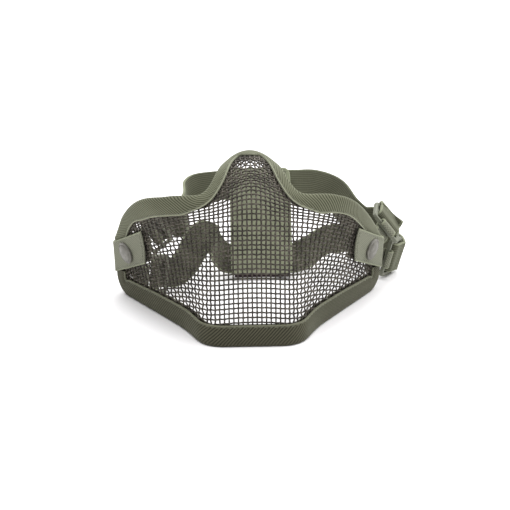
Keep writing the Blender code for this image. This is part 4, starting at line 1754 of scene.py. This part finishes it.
@dataclass
class Studio:
    """Pale floor, soft light and the camera."""

    azimuth: float = math.radians(-1.5)
    elevation: float = math.radians(25)
    distance: float = 0.74
    lens: float = 89.3
    aim: tuple[float, float] = (0.0021, 0.0718)
    roll: float = math.radians(-0.3)

    def floor(self) -> None:
        """Lay a wide pale floor."""
        bm = bmesh.new()
        bmesh.ops.create_grid(bm, x_segments=1, y_segments=1, size=4.0)
        recipe = Recipe("pale_floor", {"Roughness": 0.8, "Specular IOR Level": 0.1,
                                       "Base Color": (0.93, 0.92, 0.93, 1)})
        floor = shown("floor", bm, recipe.material)

    def sun(self, way: tuple[float, float, float], power: float, spread: float) -> None:
        """Shine one wide soft light from a direction.

        Args:
            way: Where the light comes from.
            power: Its strength.
            spread: How wide it looks, in degrees.
        """
        data = bpy.data.lights.new("overhead", "SUN")
        data.energy = power
        data.angle = math.radians(spread)
        lamp = bpy.data.objects.new("overhead", data)
        lamp.rotation_euler = (-Vector(way)).to_track_quat("-Z", "Y").to_euler()
        bpy.context.collection.objects.link(lamp)

    def sky(self) -> None:
        """White surroundings to the eye, softer as light."""
        world = bpy.data.worlds.new("studio")
        bpy.context.scene.world = world
        world.use_nodes = True
        tree = world.node_tree
        seen = tree.nodes.new("ShaderNodeLightPath")
        bright = tree.nodes.new("ShaderNodeMath")
        bright.operation = "MULTIPLY_ADD"
        bright.inputs[1].default_value = 0.7
        bright.inputs[2].default_value = 0.35
        tree.links.new(seen.outputs["Is Camera Ray"], bright.inputs[0])
        back = tree.nodes["Background"]
        back.inputs["Color"].default_value = (1, 1, 1, 1)
        tree.links.new(bright.outputs[0], back.inputs["Strength"])

    def camera(self) -> None:
        """Stand the camera in front, a little above, aimed past the chin."""
        data = bpy.data.cameras.new("camera")
        data.lens = self.lens
        data.sensor_width = 36
        data.clip_start = 0.01
        camera = bpy.data.objects.new("camera", data)
        away = Vector((math.sin(self.azimuth) * math.cos(self.elevation),
                       -math.cos(self.azimuth) * math.cos(self.elevation),
                       math.sin(self.elevation)))
        turn = (-away).to_track_quat("-Z", "Y")
        look = turn @ Vector((self.aim[0], self.aim[1], -1))
        camera.location = away * self.distance
        camera.rotation_mode = "QUATERNION"
        camera.rotation_quaternion = (look.to_track_quat("-Z", "Y")
                                      @ Matrix.Rotation(self.roll, 3, "Z").to_quaternion())
        bpy.context.collection.objects.link(camera)
        bpy.context.scene.camera = camera

    def build(self) -> None:
        """Set the stage."""
        self.floor()
        self.sky()
        self.sun((0.18, 0.36, 0.90), 5.6, 100)
        self.camera()
        bpy.context.scene.view_settings.view_transform = "Standard"
        LOG.info("studio set")


def main() -> None:
    """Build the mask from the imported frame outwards."""
    logging.basicConfig(level=logging.INFO, format="%(name)s: %(message)s")
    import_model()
    form = MaskForm()
    # One olive webbing in two copies. The chin copy is darker as painted shade on the
    # forward-facing lower binding. The cheek copy is lighter as painted top light on the upper
    # binding. Their rim colours differ the same way.
    chin_web_painted_shade = Webbing("chin_webbing_painted_shade", Weave.HERRINGBONE, (0.008, 0.008, 0.004),
                       (0.092, 0.088, 0.057), 26.2 * MM, 2.0 * MM,
                       rim=(0.185, 0.187, 0.130)).make()
    cheek_web_painted_light = Webbing("cheek_webbing_painted_light", Weave.HERRINGBONE, (0.014, 0.015, 0.008),
                        (0.170, 0.175, 0.115), 26.2 * MM, 2.0 * MM,
                        rim=(0.30, 0.31, 0.225)).make()
    canvas = Webbing("tab_canvas", Weave.CANVAS, (0.085, 0.088, 0.064), (0.225, 0.229, 0.172),
                     24 * MM, 0.9 * MM).make()
    keeper_web = Webbing("keeper_webbing", Weave.CANVAS, (0.085, 0.088, 0.064),
                         (0.225, 0.229, 0.172), 12 * MM, 0.9 * MM).make()
    elastic = Webbing("ribbed_elastic", Weave.RIBBED, (0.042, 0.044, 0.027),
                      (0.138, 0.141, 0.096), 20 * MM, 1.25 * MM, relief=0.08 * MM).make()
    thread = Thread().make()
    nylon = MouldedNylon().make()
    paint = CapPaint().make()
    WireSheet(form, WirePaint().make()).build()
    # The lower binding takes the copy with painted shade, and the upper binding takes the copy
    # with painted light.
    for upper in (False, True):
        EdgeBinding(form, cheek_web_painted_light if upper else chin_web_painted_shade, thread, upper).build()
    tabs = {side: SideTab(form, side, canvas, thread, paint) for side in Side}
    for tab in tabs.values():
        tab.build()
    Suspension(form, tabs, keeper_web, elastic, nylon, thread).build()
    pad = HeadPad(PadCloth(HeadPad.lean).make(), OpenFoam().make(), thread)
    pad.build()
    Studio().build()


if __name__ == "__main__":
    main()
